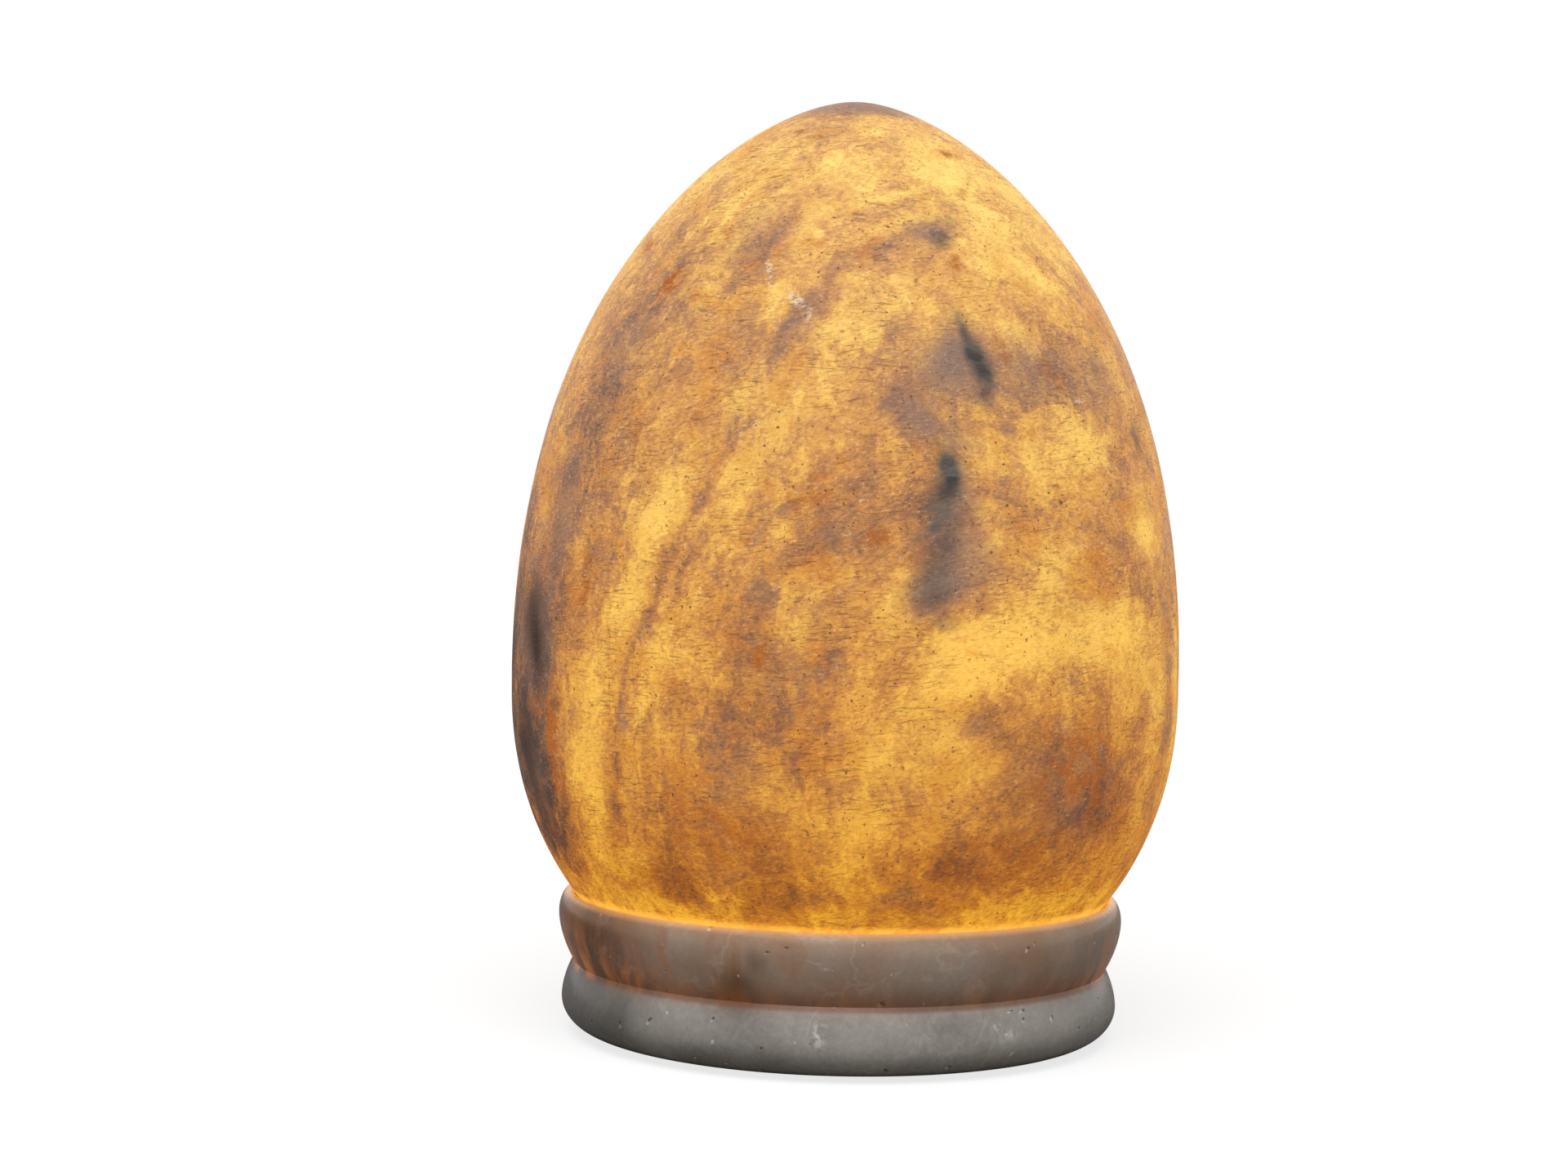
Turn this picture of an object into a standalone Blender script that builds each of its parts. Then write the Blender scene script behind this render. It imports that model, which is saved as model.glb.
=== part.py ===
"""Onyx egg lamp: a hollow stone egg that rests in a turned stone base, over a lampholder and its bulb.

Metres, with +Z up the lamp's axis and the shelf at z = 0. The front faces -Y and the flex leaves at +Y.
"""

import math

import bmesh
import bpy
from mathutils import Matrix, Vector

# Overall sizes. Every height is above the shelf unless its comment says otherwise.
LAMP_HEIGHT = 0.210
CLEARANCE = 0.0003
ROUND_STEPS = 48
SMALL_STEPS = 24

# Egg: two half outlines that meet at the widest height
EGG_RADIUS = 0.0753
EGG_WIDEST_HEIGHT = 0.0778
EGG_LOWER_LENGTH = 0.0728
EGG_UPPER_POWER = 2.32
EGG_UPPER_ROOT = 0.609
EGG_LOWER_POWER = 2.09
EGG_LOWER_ROOT = 0.450
EGG_TIP_BLUNTNESS = 0.03
EGG_WALL = 0.0085
EGG_CROWN_WALL = 0.0135
EGG_OUTER_ROWS = 20
EGG_INNER_ROWS = 15

# Base: the heights add up from the foot, and the radii start from the egg at the rim
FELT_PROUD = 0.0008
LOWER_CREST_RISE = 0.0069
GROOVE_RISE = 0.0085
UPPER_CREST_RISE = 0.0107
RIM_RISE = 0.0049
UPPER_BEAD_SWELL = 0.0027
GROOVE_DEPTH = 0.0034
LOWER_BEAD_SWELL = 0.0025
FOOT_ROUNDING = 0.0078
BEAD_POWER = 1.8
SEAT_DEPTH = 0.0061
WELL_SETBACK = 0.0012
WELL_CORNER = 0.004
RECESS_WALL = 0.016
RECESS_DEPTH = 0.0137
FLOOR_THICKNESS = 0.0055

# Felt pad in its rebate
FELT_THICKNESS = 0.0018
FELT_SETBACK = 0.0030

# Grommet in the flex hole
GROMMET_BORE_RADIUS = 0.0032
GROMMET_WALL = 0.0009
GROMMET_FLANGE = 0.0010
GROMMET_LIP = 0.0007
GROMMET_FLANGE_THICKNESS = 0.0012
SPOT_FACE_DEPTH = 0.0021
SPOT_FACE_MARGIN = 0.0008

# Lamp tube and the hardware on it
TUBE_RADIUS = 0.0050
TUBE_WALL = 0.0010
TUBE_TAIL = 0.0010
WASHER_THICKNESS = 0.0010
BASE_WASHER_RADIUS = 0.0140
TOP_WASHER_RADIUS = 0.0100
LOCK_WASHER_RADIUS = 0.0082
LOCK_WASHER_THICKNESS = 0.0008
LOCK_WASHER_SLOT = math.radians(12)
LOCK_WASHER_TWIST = 0.0003
NUT_HALF_WIDTH = 0.0070
NUT_THICKNESS = 0.0030
NUT_CHAMFER = 0.0006
BUSH_WALL = 0.0006
BUSH_FLANGE_THICKNESS = 0.0010
BUSH_SLEEVE_LENGTH = 0.0045

# E14 thread, shared by the screw shell and the bulb's cap
THREAD_PITCH = 0.002822
THREAD_RADIUS = 0.00655
THREAD_SWING = 0.00040
THREAD_PLAY = 0.00035
THREAD_RUN_OUT = 0.00025
THREAD_TURNS = 4
THREAD_ROWS_PER_TURN = 5
THREAD_STEPS = 20

# Lampholder
BOSS_WALL = 0.0022
BOSS_LENGTH = 0.0060
TUBE_END_IN_BOSS = 0.0055
CAP_FLARE = 0.0025
CAP_LENGTH = 0.0140
SPIGOT_LENGTH = 0.0036
SPIGOT_WALL = 0.0015
SKIRT_WALL = 0.0018
SKIRT_AIR = 0.0018
SKIRT_SHOULDER = 0.0022
SKIRT_TAPER = 0.0035
CORE_HEIGHT = 0.0078
CORE_POCKET_DEPTH = 0.0020
CORE_POCKET_RADIUS = 0.0046
SHELL_WALL = 0.0005
SHELL_FLOOR_OPENING = 0.0052
SKIRT_ABOVE_SHELL = 0.0060
LOCK_SCREW_RADIUS = 0.0014
LOCK_SCREW_LENGTH = 0.0024

# Contacts and terminals
TONGUE_WIDTH = 0.0036
TONGUE_THICKNESS = 0.0005
TONGUE_RISE = 0.0046
TERMINAL_OFFSET = 0.0061
TERMINAL_SIDE = 0.0048
TERMINAL_HOLE_RADIUS = 0.0013
STUD_RADIUS = 0.0011
TERMINAL_SCREW_RADIUS = 0.0009
TERMINAL_SCREW_HEAD_RADIUS = 0.0015
TERMINAL_SCREW_HEAD = 0.0009

# Bulb: lengths along the bulb are above its tip contact
BULB_LENGTH = 0.0585
BULB_RADIUS = 0.0135
BULB_NECK_RADIUS = 0.0053
BULB_GLASS_WALL = 0.0008
BULB_WIDEST_SHARE = 0.45
BULB_FLARE_STEPS = 5
BULB_DOME_STEPS = 6
TIP_RADIUS = 0.0024
TIP_HEIGHT = 0.0012
INSULATOR_HEIGHT = 0.0044
INSULATOR_EXPOSED = 0.0014
INSULATOR_FACE_RADIUS = 0.0034
CAP_THREAD_LEAD = 0.0006
CAP_COLLAR_LENGTH = 0.0030
CAP_COLLAR_SWELL = 0.0005
CAP_SHEET = 0.0004
STEM_LENGTH = 0.0190
STEM_RADIUS = 0.0019
STEM_PINCH_RADIUS = 0.0026
STEM_SHARES = (0.06, 0.25, 0.80, 0.92)
WIRE_RADIUS = 0.0003
WIRE_LENGTH = 0.0120
WIRE_SPREAD = 0.0060
FILAMENT_RADIUS = 0.0003
FILAMENT_SAG = 0.0035
HOOK_SHARE = 0.33

# How far the egg's mouth is above the bulb when the egg has been lifted off
LIFT_MARGIN = 0.0270


def egg_outer_radius(height):
    """The egg's outer radius at a height above the shelf."""
    if height >= EGG_WIDEST_HEIGHT:
        share = (height - EGG_WIDEST_HEIGHT) / (LAMP_HEIGHT - EGG_WIDEST_HEIGHT)
        left = max(0.0, 1 - share**EGG_UPPER_POWER)
        blunted = EGG_TIP_BLUNTNESS + (1 - EGG_TIP_BLUNTNESS) * left
        return EGG_RADIUS * math.sqrt(left) * blunted ** (EGG_UPPER_ROOT - 0.5)
    share = (EGG_WIDEST_HEIGHT - height) / EGG_LOWER_LENGTH
    return EGG_RADIUS * max(0.0, 1 - share**EGG_LOWER_POWER) ** EGG_LOWER_ROOT


# Heights of the base and of the egg's seat in it
FOOT_HEIGHT = FELT_PROUD
LOWER_CREST_HEIGHT = FOOT_HEIGHT + LOWER_CREST_RISE
GROOVE_HEIGHT = LOWER_CREST_HEIGHT + GROOVE_RISE
UPPER_CREST_HEIGHT = GROOVE_HEIGHT + UPPER_CREST_RISE
RIM_HEIGHT = UPPER_CREST_HEIGHT + RIM_RISE
MOUTH_HEIGHT = RIM_HEIGHT - SEAT_DEPTH
LEDGE_HEIGHT = MOUTH_HEIGHT - CLEARANCE
RECESS_ROOF_HEIGHT = FOOT_HEIGHT + RECESS_DEPTH
WELL_FLOOR_HEIGHT = RECESS_ROOF_HEIGHT + FLOOR_THICKNESS

# Radii of the base
RIM_RADIUS = egg_outer_radius(RIM_HEIGHT) + CLEARANCE
UPPER_CREST_RADIUS = RIM_RADIUS + UPPER_BEAD_SWELL
GROOVE_RADIUS = UPPER_CREST_RADIUS - GROOVE_DEPTH
LOWER_CREST_RADIUS = GROOVE_RADIUS + LOWER_BEAD_SWELL
FOOT_RADIUS = LOWER_CREST_RADIUS - FOOT_ROUNDING
RECESS_RADIUS = LOWER_CREST_RADIUS - RECESS_WALL
FELT_RADIUS = FOOT_RADIUS - FELT_SETBACK

# Hardware on the tube: downward from the recess roof, then upward from the well floor
BASE_WASHER_BOTTOM = RECESS_ROOF_HEIGHT - CLEARANCE - WASHER_THICKNESS
LOCK_WASHER_BOTTOM = BASE_WASHER_BOTTOM - CLEARANCE - LOCK_WASHER_THICKNESS - LOCK_WASHER_TWIST
TUBE_NUT_BOTTOM = LOCK_WASHER_BOTTOM - CLEARANCE - NUT_THICKNESS
TUBE_BOTTOM = TUBE_NUT_BOTTOM - TUBE_TAIL
TOP_WASHER_BOTTOM = WELL_FLOOR_HEIGHT + CLEARANCE
TOP_NUT_BOTTOM = TOP_WASHER_BOTTOM + WASHER_THICKNESS + CLEARANCE
CAP_BOTTOM = TOP_NUT_BOTTOM + NUT_THICKNESS + CLEARANCE
TUBE_TOP = CAP_BOTTOM + TUBE_END_IN_BOSS
HARDWARE_BORE = TUBE_RADIUS + CLEARANCE
TUBE_BORE = TUBE_RADIUS - TUBE_WALL

# Lampholder heights
CAP_TOP = CAP_BOTTOM + CAP_LENGTH
SPIGOT_BOTTOM = CAP_TOP - SPIGOT_LENGTH
CORE_BOTTOM = CAP_TOP + CLEARANCE
CORE_TOP = CORE_BOTTOM + CORE_HEIGHT
POCKET_FLOOR = CORE_TOP - CORE_POCKET_DEPTH
SHELL_BOTTOM = CORE_TOP + CLEARANCE
THREAD_LENGTH = THREAD_TURNS * THREAD_PITCH
SHELL_THREAD_BOTTOM = SHELL_BOTTOM + 2 * SHELL_WALL
SHELL_TOP = SHELL_THREAD_BOTTOM + THREAD_LENGTH + THREAD_PITCH / 2
SKIRT_TOP = SHELL_TOP + SKIRT_ABOVE_SHELL

# Lampholder radii, from the thread outward
SHELL_THREAD_RADIUS = THREAD_RADIUS + THREAD_PLAY
SHELL_OUTER_RADIUS = SHELL_THREAD_RADIUS + THREAD_SWING + SHELL_WALL
SKIRT_UPPER_BORE = SHELL_OUTER_RADIUS + SKIRT_AIR
SKIRT_LOWER_BORE = SKIRT_UPPER_BORE + SKIRT_SHOULDER
SKIRT_LOWER_RADIUS = SKIRT_LOWER_BORE + SKIRT_WALL
SPIGOT_RADIUS = SKIRT_LOWER_BORE - CLEARANCE
CORE_RADIUS = SKIRT_LOWER_BORE - CLEARANCE
BOSS_RADIUS = HARDWARE_BORE + BOSS_WALL

# Contact tongue and bulb
TONGUE_FOOT_HEIGHT = POCKET_FLOOR + CLEARANCE + TONGUE_THICKNESS / 2
TONGUE_TOP = TONGUE_FOOT_HEIGHT + TONGUE_RISE + TONGUE_THICKNESS / 2
BULB_TIP_HEIGHT = TONGUE_TOP + CLEARANCE
BULB_TOP = BULB_TIP_HEIGHT + BULB_LENGTH


def remove_everything():
    """Empties the scene that the script starts in."""
    for leftover in list(bpy.data.objects):
        bpy.data.objects.remove(leftover)


def material(name, colour, roughness, metallic=0.0):
    """A Principled material of its own for one piece."""
    made = bpy.data.materials.new(name + "_material")
    made.use_nodes = True
    shader = made.node_tree.nodes["Principled BSDF"]
    shader.inputs["Base Color"].default_value = (*colour, 1)
    shader.inputs["Roughness"].default_value = roughness
    shader.inputs["Metallic"].default_value = metallic
    return made


ONYX_AMBER = ((0.72, 0.40, 0.13), 0.32)
ONYX_GREY = ((0.30, 0.27, 0.23), 0.25)
FELT_GREEN = ((0.05, 0.16, 0.08), 0.95)
RUBBER_BLACK = ((0.03, 0.03, 0.03), 0.7)
ZINC = ((0.62, 0.63, 0.65), 0.35, 1.0)
BRASS = ((0.78, 0.58, 0.25), 0.3, 1.0)
COPPER = ((0.75, 0.42, 0.27), 0.35, 1.0)
HOLDER_WHITE = ((0.83, 0.81, 0.75), 0.4)
PORCELAIN = ((0.88, 0.87, 0.84), 0.25)
NICKEL = ((0.72, 0.70, 0.66), 0.25, 1.0)
BULB_GLASS = ((0.95, 0.95, 0.94), 0.05)
BLACK_GLASS = ((0.02, 0.02, 0.025), 0.2)
SOLDER = ((0.60, 0.60, 0.60), 0.45, 1.0)
TUNGSTEN = ((0.35, 0.33, 0.30), 0.4, 1.0)


def place(name, bm, look, location=(0, 0, 0), parent=None, sharp=math.radians(32)):
    """Makes an object of the mesh, smooth but for edges sharper than the given angle."""
    mesh = bpy.data.meshes.new(name)
    bm.to_mesh(mesh)
    bm.free()
    mesh.materials.append(material(name, *look))
    mesh.shade_smooth()
    mesh.set_sharp_from_angle(angle=sharp)
    made = bpy.data.objects.new(name, mesh)
    bpy.context.scene.collection.objects.link(made)
    made.location = location
    made.parent = parent
    return made


def axis_empty(name, location):
    """An empty on a joint's axis, which carries the pieces that move on it."""
    made = bpy.data.objects.new(name, None)
    bpy.context.scene.collection.objects.link(made)
    made.location = location
    made.empty_display_size = 0.01
    return made


def lathe(outline, steps=SMALL_STEPS):
    """Turns an outline of (radius, height) round Z. An outline that ends on the axis stays open there."""
    bm = bmesh.new()
    corners = [bm.verts.new((radius, 0, height)) for radius, height in outline]
    follow = corners[1:]
    if outline[0][0] > 0:
        follow = follow + corners[:1]
    edges = [bm.edges.new(pair) for pair in zip(corners, follow)]
    bmesh.ops.spin(
        bm, geom=corners + edges, cent=(0, 0, 0), axis=(0, 0, 1), angle=math.tau, steps=steps, use_merge=True
    )
    bmesh.ops.remove_doubles(bm, verts=bm.verts, dist=1e-6)
    bmesh.ops.recalc_face_normals(bm, faces=bm.faces)
    return bm


def ring(inner, outer, bottom, top, chamfer=0.0):
    """The outline of a flat ring, its outer edges chamfered if asked."""
    if chamfer <= 0:
        return [(inner, bottom), (outer, bottom), (outer, top), (inner, top)]
    return [
        (inner, bottom),
        (outer - chamfer, bottom),
        (outer, bottom + chamfer),
        (outer, top - chamfer),
        (outer - chamfer, top),
        (inner, top),
    ]


def block(size, centre):
    """A box of the given side lengths."""
    bm = bmesh.new()
    bmesh.ops.create_cube(bm, size=1, matrix=Matrix.Translation(centre) @ Matrix.Diagonal((*size, 1)))
    return bm


def rod(radius, start, end, steps=12):
    """A closed cylinder between two points."""
    start = Vector(start)
    along = Vector(end) - start
    turn = along.to_track_quat("Z", "Y").to_matrix().to_4x4()
    bm = bmesh.new()
    bmesh.ops.create_cone(
        bm,
        cap_ends=True,
        segments=steps,
        radius1=radius,
        radius2=radius,
        depth=along.length,
        matrix=Matrix.Translation(start + along / 2) @ turn,
    )
    return bm


def cut(target, bm, name, location=(0, 0, 0)):
    """Cuts the mesh out of the target with an exact Boolean, and hides the cutter."""
    cutter = place(name, bm, ZINC, location)
    cutter.hide_render = True
    cutter.display_type = "WIRE"
    modifier = target.modifiers.new(name, "BOOLEAN")
    modifier.operation = "DIFFERENCE"
    modifier.solver = "EXACT"
    modifier.object = cutter


def cut_flats(bm, half_width, count=6):
    """Mills that many flats round a turned piece, as on a hexagon nut."""
    for index in range(count):
        angle = math.tau * index / count
        outward = Vector((math.cos(angle), math.sin(angle), 0))
        found = bmesh.ops.bisect_plane(
            bm,
            geom=bm.verts[:] + bm.edges[:] + bm.faces[:],
            dist=1e-7,
            plane_co=outward * half_width,
            plane_no=outward,
            clear_outer=True,
        )
        rim = [item for item in found["geom_cut"] if isinstance(item, bmesh.types.BMEdge)]
        bmesh.ops.edgeloop_fill(bm, edges=rim)
    bmesh.ops.recalc_face_normals(bm, faces=bm.faces)


def roll_thread(bm, radius, bottom, top, run_out):
    """Presses the E14 thread into the rows at this radius. Both ends of it settle that far outward."""
    for vert in bm.verts:
        x, y, z = vert.co
        here = math.hypot(x, y)
        if abs(here - radius) > 1e-6 or not bottom <= z <= top:
            continue
        run_in = min((z - bottom) / THREAD_PITCH, (top - z) / THREAD_PITCH, 0.5) * 2
        wave = math.cos(math.atan2(y, x) - math.tau * z / THREAD_PITCH)
        swollen = (radius + run_out * (1 - run_in) + THREAD_SWING * run_in * wave) / here
        vert.co = (x * swollen, y * swollen, z)


def thread_rows(radius, bottom, turns):
    """Points up a plain wall, close enough together to take the thread."""
    count = turns * THREAD_ROWS_PER_TURN
    return [(radius, bottom + THREAD_PITCH * turns * row / count) for row in range(count + 1)]


def wire(name, path, radius, look, parent=None):
    """A closed round wire along a path of points."""
    curve = bpy.data.curves.new(name, "CURVE")
    curve.dimensions = "3D"
    curve.bevel_depth = radius
    curve.bevel_resolution = 1
    curve.use_fill_caps = True
    spline = curve.splines.new("POLY")
    spline.points.add(len(path) - 1)
    for point, (x, y, z) in zip(spline.points, path):
        point.co = (x, y, z, 1)
    curve.materials.append(material(name, *look))
    made = bpy.data.objects.new(name, curve)
    bpy.context.scene.collection.objects.link(made)
    made.parent = parent


def egg_outline_point(height):
    """The egg's outer point at a height, and the outward direction of its outline there."""
    step = 1e-6
    slope = (egg_outer_radius(height + step) - egg_outer_radius(height - step)) / (2 * step)
    return Vector((egg_outer_radius(height), height)), Vector((1, -slope)).normalized()


def egg_inner_point(height):
    """The point of the hollow that lies inward from the outer point at this height."""
    point, outward = egg_outline_point(height)
    share = max(0.0, (height - EGG_WIDEST_HEIGHT) / (LAMP_HEIGHT - EGG_WIDEST_HEIGHT))
    return point - outward * (EGG_WALL + (EGG_CROWN_WALL - EGG_WALL) * share**2)


def height_of_inner_mouth():
    """The outer height whose inward point lies level with the mouth, found by halving."""
    low = MOUTH_HEIGHT - EGG_WALL
    high = MOUTH_HEIGHT
    for _ in range(40):
        middle = (low + high) / 2
        if egg_inner_point(middle).y < MOUTH_HEIGHT:
            low = middle
        else:
            high = middle
    return high


MOUTH_RADIUS = egg_inner_point(height_of_inner_mouth()).x
WELL_RADIUS = MOUTH_RADIUS - WELL_SETBACK


def eased_heights(bottom, top, count):
    """Heights that crowd together toward both ends, where the outline turns over, the top one left out."""
    return [bottom + (top - bottom) * (1 - math.cos(math.pi * step / count)) / 2 for step in range(count)]


def egg_shell():
    """The hollow onyx egg, cut flat below where it rests in the base."""
    outer = [(egg_outer_radius(z), z) for z in eased_heights(MOUTH_HEIGHT, LAMP_HEIGHT, EGG_OUTER_ROWS)]
    inner = [egg_inner_point(z) for z in eased_heights(height_of_inner_mouth(), LAMP_HEIGHT, EGG_INNER_ROWS)]
    tip = [(0.0, LAMP_HEIGHT)]
    dome = [(0.0, LAMP_HEIGHT - EGG_CROWN_WALL)]
    outline = dome + [tuple(point) for point in reversed(inner)] + outer + tip
    bm = lathe(outline, ROUND_STEPS)
    return place("egg_shell", bm, ONYX_AMBER, sharp=math.radians(40))


def bead(crest_radius, crest_height, valley_radius, valley_height, steps):
    """Points from a bead's crest to the valley beside it, the crest left out."""
    points = []
    for step in range(1, steps + 1):
        share = step / steps
        radius = crest_radius - (crest_radius - valley_radius) * share**BEAD_POWER
        points.append((radius, crest_height + (valley_height - crest_height) * share))
    return points


def quarter_turn(start, end, steps, outward_first):
    """Points of a quarter ellipse between two corners, the start left out."""
    points = []
    for step in range(1, steps + 1):
        angle = math.pi / 2 * step / steps
        near, far = math.sin(angle), 1 - math.cos(angle)
        across, along = (near, far) if outward_first else (far, near)
        points.append((start[0] + (end[0] - start[0]) * across, start[1] + (end[1] - start[1]) * along))
    return points


def onyx_base():
    """The turned stone base: beads outside, seat, light well and recess inside."""
    rim = (RIM_RADIUS, RIM_HEIGHT)
    upper_crest = (UPPER_CREST_RADIUS, UPPER_CREST_HEIGHT)
    groove = (GROOVE_RADIUS, GROOVE_HEIGHT)
    lower_crest = (LOWER_CREST_RADIUS, LOWER_CREST_HEIGHT)
    outside = [rim]
    outside += quarter_turn(rim, upper_crest, 4, outward_first=True)
    outside += bead(*upper_crest, *groove, 4)
    outside += list(reversed(bead(*lower_crest, *groove, 4)))[1:]
    outside += [lower_crest]
    outside += quarter_turn(lower_crest, (FOOT_RADIUS, FOOT_HEIGHT), 5, outward_first=False)
    rebate_radius = FELT_RADIUS + CLEARANCE
    rebate_roof = FELT_THICKNESS + CLEARANCE
    underside = [
        (rebate_radius, FOOT_HEIGHT),
        (rebate_radius, rebate_roof),
        (RECESS_RADIUS, rebate_roof),
        (RECESS_RADIUS, RECESS_ROOF_HEIGHT),
        (HARDWARE_BORE, RECESS_ROOF_HEIGHT),
        (HARDWARE_BORE, WELL_FLOOR_HEIGHT),
    ]
    corner_foot = (WELL_RADIUS - WELL_CORNER, WELL_FLOOR_HEIGHT)
    corner_top = (WELL_RADIUS, WELL_FLOOR_HEIGHT + min(WELL_CORNER, (LEDGE_HEIGHT - WELL_FLOOR_HEIGHT) / 2))
    well = [corner_foot] + quarter_turn(corner_foot, corner_top, 3, outward_first=True)
    seat = [(WELL_RADIUS, LEDGE_HEIGHT), (egg_outer_radius(LEDGE_HEIGHT) + CLEARANCE, LEDGE_HEIGHT)]
    seat_middle = (LEDGE_HEIGHT + RIM_HEIGHT) / 2
    seat += [(egg_outer_radius(seat_middle) + CLEARANCE, seat_middle)]
    return place("onyx_base", lathe(outside + underside + well + seat, ROUND_STEPS), ONYX_GREY)


def grommet_hole(base):
    """The flex hole through the back of the lower bead, with a flat for the grommet's flange."""
    hole = GROMMET_BORE_RADIUS + GROMMET_WALL + CLEARANCE
    flat = GROMMET_BORE_RADIUS + GROMMET_WALL + GROMMET_FLANGE + SPOT_FACE_MARGIN
    flat_face = LOWER_CREST_RADIUS - SPOT_FACE_DEPTH
    inside = RECESS_RADIUS - RECESS_WALL / 2
    outside = LOWER_CREST_RADIUS + RECESS_WALL / 2
    outline = [(0.0, inside), (hole, inside), (hole, flat_face), (flat, flat_face), (flat, outside), (0.0, outside)]
    cutter = lathe(outline)
    turn_to_back(cutter)
    cut(base, cutter, "flex_hole", (0, 0, LOWER_CREST_HEIGHT))


def turn_to_back(bm):
    """Turns a piece made along +Z to point along +Y."""
    bmesh.ops.rotate(bm, verts=bm.verts, cent=(0, 0, 0), matrix=Matrix.Rotation(math.radians(-90), 3, "X"))


def felt_pad():
    """The felt disc under the foot, which is what the lamp stands on."""
    bm = lathe([(0.0, 0.0), (FELT_RADIUS, 0.0), (FELT_RADIUS, FELT_THICKNESS), (0.0, FELT_THICKNESS)], ROUND_STEPS)
    place("felt_pad", bm, FELT_GREEN)


def cord_grommet():
    """The rubber grommet, pushed into the flex hole and held by a lip inside the recess."""
    bore = GROMMET_BORE_RADIUS
    sleeve = bore + GROMMET_WALL
    flange = sleeve + GROMMET_FLANGE
    lip = sleeve + GROMMET_LIP
    face = LOWER_CREST_RADIUS - SPOT_FACE_DEPTH + CLEARANCE
    end = face + GROMMET_FLANGE_THICKNESS
    lip_end = math.sqrt(RECESS_RADIUS**2 - lip**2) - CLEARANCE
    lip_start = lip_end - GROMMET_LIP
    outline = [
        (bore, lip_start),
        (sleeve, lip_start),
        (lip, lip_end),
        (sleeve, lip_end),
        (sleeve, face),
        (flange, face),
        (flange, end - GROMMET_FLANGE_THICKNESS / 3),
        (flange - GROMMET_FLANGE_THICKNESS / 3, end),
        (bore, end),
    ]
    bm = lathe(outline)
    turn_to_back(bm)
    place("cord_grommet", bm, RUBBER_BLACK, (0, 0, LOWER_CREST_HEIGHT))


def tube_hardware():
    """The lamp tube through the stone floor, with its washers, nuts and end bush."""
    tube = ring(TUBE_BORE, TUBE_RADIUS, 0, TUBE_TOP - TUBE_BOTTOM, TUBE_WALL / 3)
    place("threaded_tube", lathe(tube), ZINC, (0, 0, TUBE_BOTTOM))
    washers = (
        ("base_washer", BASE_WASHER_RADIUS, BASE_WASHER_BOTTOM),
        ("top_washer", TOP_WASHER_RADIUS, TOP_WASHER_BOTTOM),
    )
    for name, radius, bottom in washers:
        outline = ring(HARDWARE_BORE, radius, 0, WASHER_THICKNESS, WASHER_THICKNESS / 4)
        place(name, lathe(outline), ZINC, (0, 0, bottom))
    for name, bottom in (("tube_nut", TUBE_NUT_BOTTOM), ("top_nut", TOP_NUT_BOTTOM)):
        corner = NUT_HALF_WIDTH / math.cos(math.pi / 6)
        bm = lathe(ring(HARDWARE_BORE, corner, 0, NUT_THICKNESS, NUT_CHAMFER))
        cut_flats(bm, NUT_HALF_WIDTH)
        place(name, bm, BRASS, (0, 0, bottom))
    lock_washer()
    bush_outer = TUBE_BORE - CLEARANCE
    bush_bore = bush_outer - BUSH_WALL
    flange = BUSH_FLANGE_THICKNESS
    bush = [
        (bush_bore, 0),
        (TUBE_RADIUS - flange / 3, 0),
        (TUBE_RADIUS, flange / 3),
        (TUBE_RADIUS, flange),
        (bush_outer, flange),
        (bush_outer, flange + BUSH_SLEEVE_LENGTH),
        (bush_bore, flange + BUSH_SLEEVE_LENGTH),
    ]
    place("tube_bush", lathe(bush, 16), HOLDER_WHITE, (0, 0, TUBE_BOTTOM - CLEARANCE - flange))


def lock_washer():
    """A split spring washer, whose ends stand a little apart."""
    bm = bmesh.new()
    outline = ring(HARDWARE_BORE, LOCK_WASHER_RADIUS, 0, LOCK_WASHER_THICKNESS)
    section = bm.faces.new([bm.verts.new((radius, 0, height)) for radius, height in outline])
    start = section.verts[:]
    made = bmesh.ops.spin(
        bm,
        geom=[section],
        cent=(0, 0, 0),
        axis=(0, 0, 1),
        dvec=(0, 0, LOCK_WASHER_TWIST / SMALL_STEPS),
        angle=math.tau - LOCK_WASHER_SLOT,
        steps=SMALL_STEPS,
    )
    if not any(isinstance(item, bmesh.types.BMFace) for item in made["geom_last"]):
        raise ValueError("the spring washer has no end face")
    if not bm.faces.get(start):
        bm.faces.new(start)
    bmesh.ops.recalc_face_normals(bm, faces=bm.faces)
    place("lock_washer", bm, ZINC, (0, 0, LOCK_WASHER_BOTTOM))


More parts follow.
